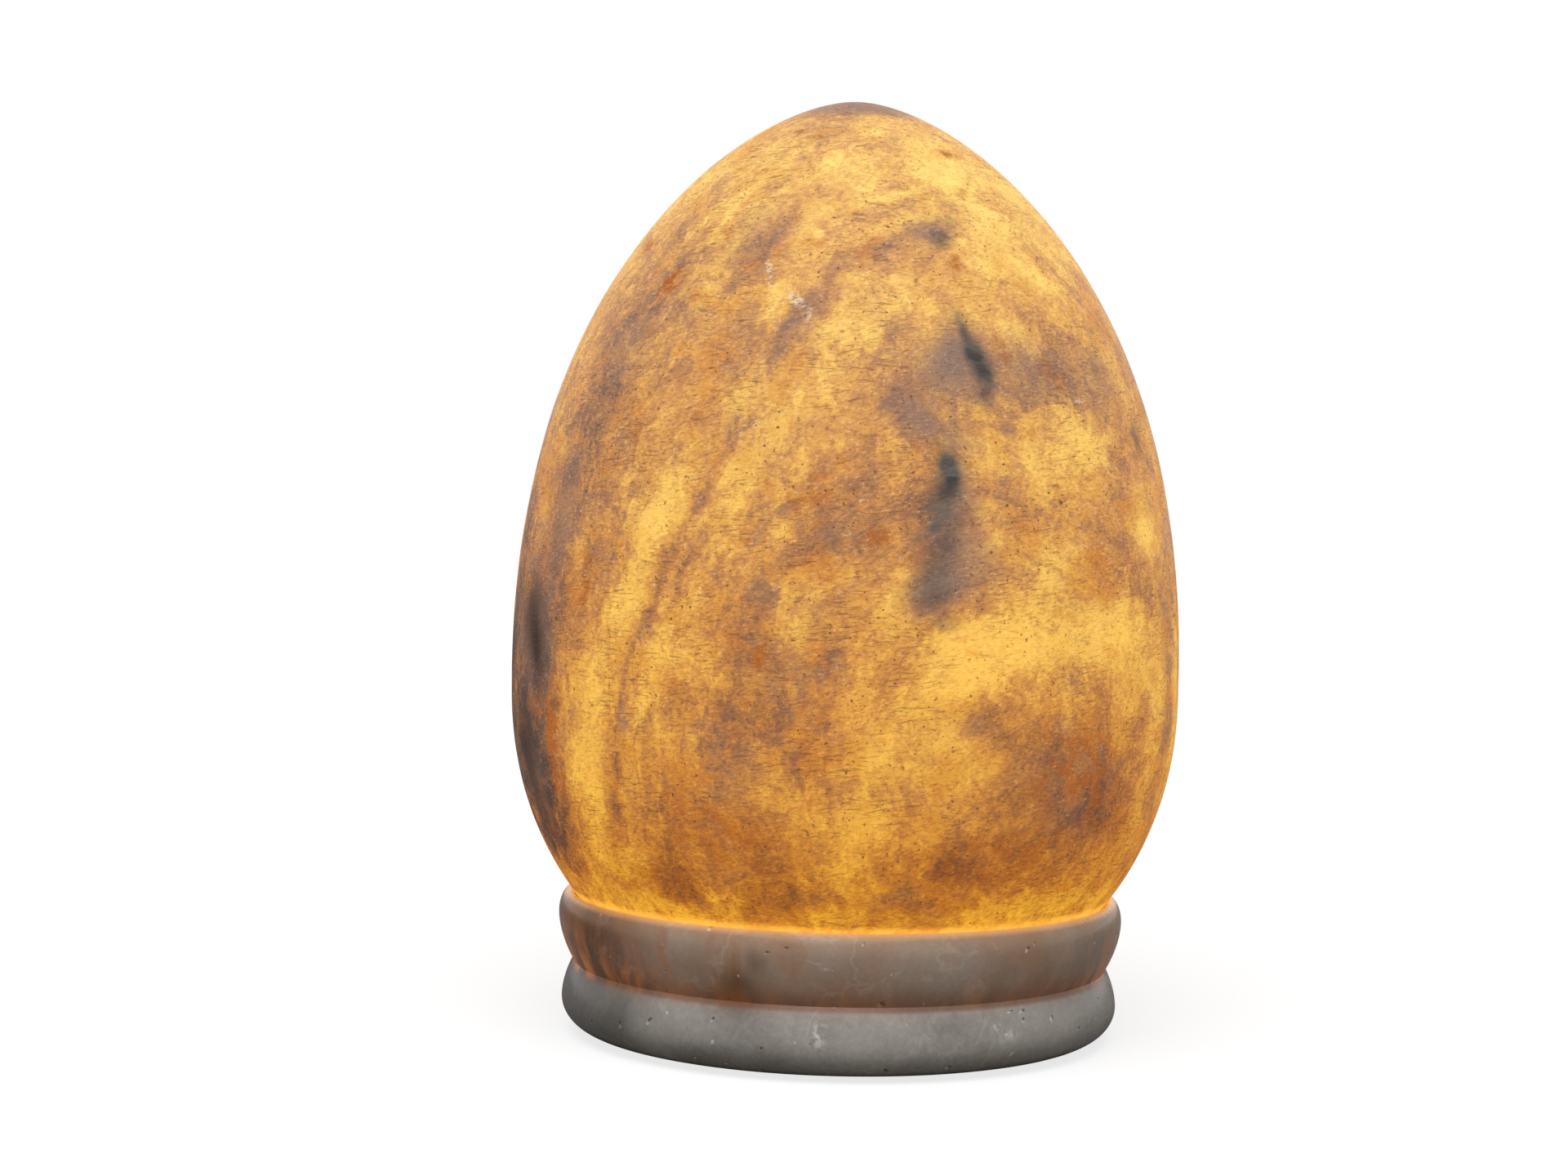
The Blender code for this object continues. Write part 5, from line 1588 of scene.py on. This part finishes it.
def tip_mesh():
    """The rounded drop of solder that is the end contact."""
    radius, bottom, top = reach_of("bulb_tip_contact")
    drop = quarter((0.0, bottom), (radius, (bottom + top) / 2), 8, True)
    return lathe([(0.0, bottom)] + drop + [(radius, top), (0.0, top)], COARSE)


def stem_mesh():
    """The glass mount: a flare below, a stem and a pinched head."""
    radius, bottom, top = reach_of("bulb_stem")
    outline = [(0.0, bottom), (radius, bottom)]
    for across, share in zip((radius, STEM_RADIUS, STEM_RADIUS, STEM_PINCH), STEM_SHARES):
        outline.append((across, bottom + (top - bottom) * share))
    return lathe(softened(outline + [(STEM_PINCH, top), (0.0, top)], 4 * EASE), COARSE)


def filament_mesh():
    """The coiled wire, wound straight and then bent along its sag."""
    low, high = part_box("filament")
    thickness = (high[2] - low[2]) / 2
    reach = high[0] - thickness
    sag = -low[1] - thickness
    middle = (high[2] + low[2]) / 2
    steps = COIL_TURNS * COIL_STEPS_PER_TURN
    bm = bmesh.new()
    place = Matrix.Translation((COIL_RADIUS, 0, -reach)) @ Matrix.Rotation(math.radians(90), 4, "X")
    bmesh.ops.create_circle(bm, segments=6, radius=COIL_WIRE, matrix=place)
    section = bm.verts[:] + bm.edges[:]
    climb = (0, 0, 2 * reach / steps)
    turns = math.tau * COIL_TURNS
    bmesh.ops.spin(bm, geom=section, cent=(0, 0, 0), axis=(0, 0, 1), dvec=climb, angle=turns, steps=steps)
    ends = [edge for edge in bm.edges if edge.is_boundary]
    bmesh.ops.holes_fill(bm, edges=ends, sides=0)
    bmesh.ops.recalc_face_normals(bm, faces=bm.faces)
    for vert in bm.verts:
        x, y, z = vert.co
        vert.co = (z, x - sag * (1 - (z / reach) ** 2), middle + y)
    return bm


class LAMP_OT_bulb(bpy.types.Operator):
    """Make the small clear bulb"""

    bl_idname = "egg_lamp.bulb"
    bl_label = "Bulb"

    def execute(self, context):
        fitted("glass_envelope", "bulb_glass", bulb_glass_mesh(), "clear_glass", "bulb")
        cap = bulb_cap_mesh(sizes("holder").pitch)
        fitted("screw_cap", "bulb_cap", cap, "nickel", "bulb", 50)
        black = insulator_mesh()
        fitted("black_insulator", "bulb_insulator", black, "black_glass", "bulb_foot")
        fitted("solder_tip", "bulb_tip_contact", tip_mesh(), "solder", "bulb_foot")
        fitted("glass_stem", "bulb_stem", stem_mesh(), "clear_glass", "bulb")
        fitted("coiled_filament", "filament", filament_mesh(), "hot_filament", "bulb", 60)
        wires = ("lead_wire_1", "lead_wire_2", "filament_support_1", "filament_support_2")
        carry_over((wire, "nickel") for wire in wires)
        return {"FINISHED"}


# The studio


KEY_DIRECTION = Vector((-0.10, -0.95, 1.75))
KEY_SPREAD = math.radians(50)
FLOOR_HALF_WIDTH = 30
FLOOR_WHITE = 1.03
FLOOR_DIMMER = 0.98


def floor_finish(stage):
    """A floor that is white to the camera, keeps a soft shadow, and throws little light back up."""
    floor = Finish("studio_floor", 0.9)
    grey = stage.floor_grey
    tone = floor.rise(floor.noise(3, 2.0), 0.3, 0.7, 0.0, 0.2)
    floor.set("Base Color", floor.mix(tone, [grey] * 3, [grey * FLOOR_DIMMER] * 3))
    floor.set("Specular IOR Level", 0.0)
    lit = grey * (stage.air_light + stage.key_light * KEY_DIRECTION.normalized().z / math.pi)
    rest = FLOOR_WHITE - lit
    seen = floor.node("ShaderNodeLightPath", {}, {}, "Is Camera Ray")
    seen = seen.most(Flow(floor, seen.socket.node.outputs["Is Transmission Ray"]))
    floor.set("Emission Color", floor.mix(seen, (0.0, 0.0, 0.0), [rest] * 3))
    floor.set("Emission Strength", 1.0)
    return floor


def white_world(stage):
    """Soft grey light all round, seen as plain white by the camera, in gloss and through glass."""
    world = bpy.data.worlds.new("studio_air")
    bpy.context.scene.world = world
    world.use_nodes = True
    air = NodeTree(world.node_tree)
    back = world.node_tree.nodes["Background"]
    seen = air.node("ShaderNodeLightPath", {}, {}, "Is Camera Ray")
    rays = seen.socket.node.outputs
    seen = seen.most(Flow(air, rays["Is Glossy Ray"])).most(Flow(air, rays["Is Transmission Ray"]))
    air.feed(back.inputs["Color"], (1.0, 1.0, 1.0))
    air.feed(back.inputs["Strength"], seen * (1 - stage.air_light) + stage.air_light)


class LAMP_OT_stage(bpy.types.Operator):
    """Set the floor, the light and the camera"""

    bl_idname = "egg_lamp.stage"
    bl_label = "Studio"

    def execute(self, context):
        stage = sizes("stage")
        bm = bmesh.new()
        bmesh.ops.create_grid(bm, x_segments=1, y_segments=1, size=FLOOR_HALF_WIDTH)
        floor = shaped("studio_floor", bm)
        put_on(floor, floor_finish(stage))
        white_world(stage)
        sun = bpy.data.lights.new("key_light", "SUN")
        sun.energy = stage.key_light
        sun.angle = KEY_SPREAD
        key = linked("key_light", sun)
        key.location = KEY_DIRECTION
        key.rotation_euler = (-KEY_DIRECTION).to_track_quat("-Z", "Y").to_euler()
        lens = bpy.data.cameras.new("photo_camera")
        lens.lens = stage.focal
        lens.sensor_width = 36
        camera = linked("photo_camera", lens)
        turn = Matrix.Rotation(stage.pan, 4, "Z") @ Matrix.Rotation(math.pi / 2 - stage.pitch, 4, "X")
        turn = turn @ Matrix.Rotation(stage.roll, 4, "Z")
        camera.matrix_world = Matrix.Translation((0, -stage.distance, stage.eye_height)) @ turn
        context.scene.camera = camera
        context.scene.view_settings.view_transform = "Standard"
        return {"FINISHED"}


OPERATORS = (
    LAMP_OT_egg,
    LAMP_OT_base,
    LAMP_OT_foot,
    LAMP_OT_hardware,
    LAMP_OT_holder,
    LAMP_OT_bulb,
    LAMP_OT_stage,
)
SETTINGS = (("egg", EggSizes), ("base", BaseSizes), ("holder", HolderSizes), ("stage", StageSizes))


class LAMP_PT_pieces(bpy.types.Panel):
    """Lists the lamp's pieces in the sidebar."""

    bl_label = "Egg lamp"
    bl_idname = "LAMP_PT_pieces"
    bl_space_type = "VIEW_3D"
    bl_region_type = "UI"
    bl_category = "Egg lamp"

    def draw(self, context):
        for operator in OPERATORS:
            self.layout.operator(operator.bl_idname)
        for name, group in SETTINGS:
            box = self.layout.box()
            for field in group.__annotations__:
                box.prop(sizes(name), field)


def register():
    for name, group in SETTINGS:
        bpy.utils.register_class(group)
        setattr(bpy.types.Scene, "egg_lamp_" + name, bpy.props.PointerProperty(type=group))
    for operator in OPERATORS:
        bpy.utils.register_class(operator)
    bpy.utils.register_class(LAMP_PT_pieces)


def unregister():
    bpy.utils.unregister_class(LAMP_PT_pieces)
    for operator in reversed(OPERATORS):
        bpy.utils.unregister_class(operator)
    for name, group in reversed(SETTINGS):
        delattr(bpy.types.Scene, "egg_lamp_" + name)
        bpy.utils.unregister_class(group)


def write_sizes():
    """Brings the scene up to date after dressing."""
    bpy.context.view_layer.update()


def main():
    register()
    bpy.ops.egg_lamp.egg()
    bpy.ops.egg_lamp.base()
    bpy.ops.egg_lamp.foot()
    bpy.ops.egg_lamp.hardware()
    bpy.ops.egg_lamp.holder()
    bpy.ops.egg_lamp.bulb()
    bpy.ops.egg_lamp.stage()
    write_sizes()


if __name__ == "__main__":
    main()
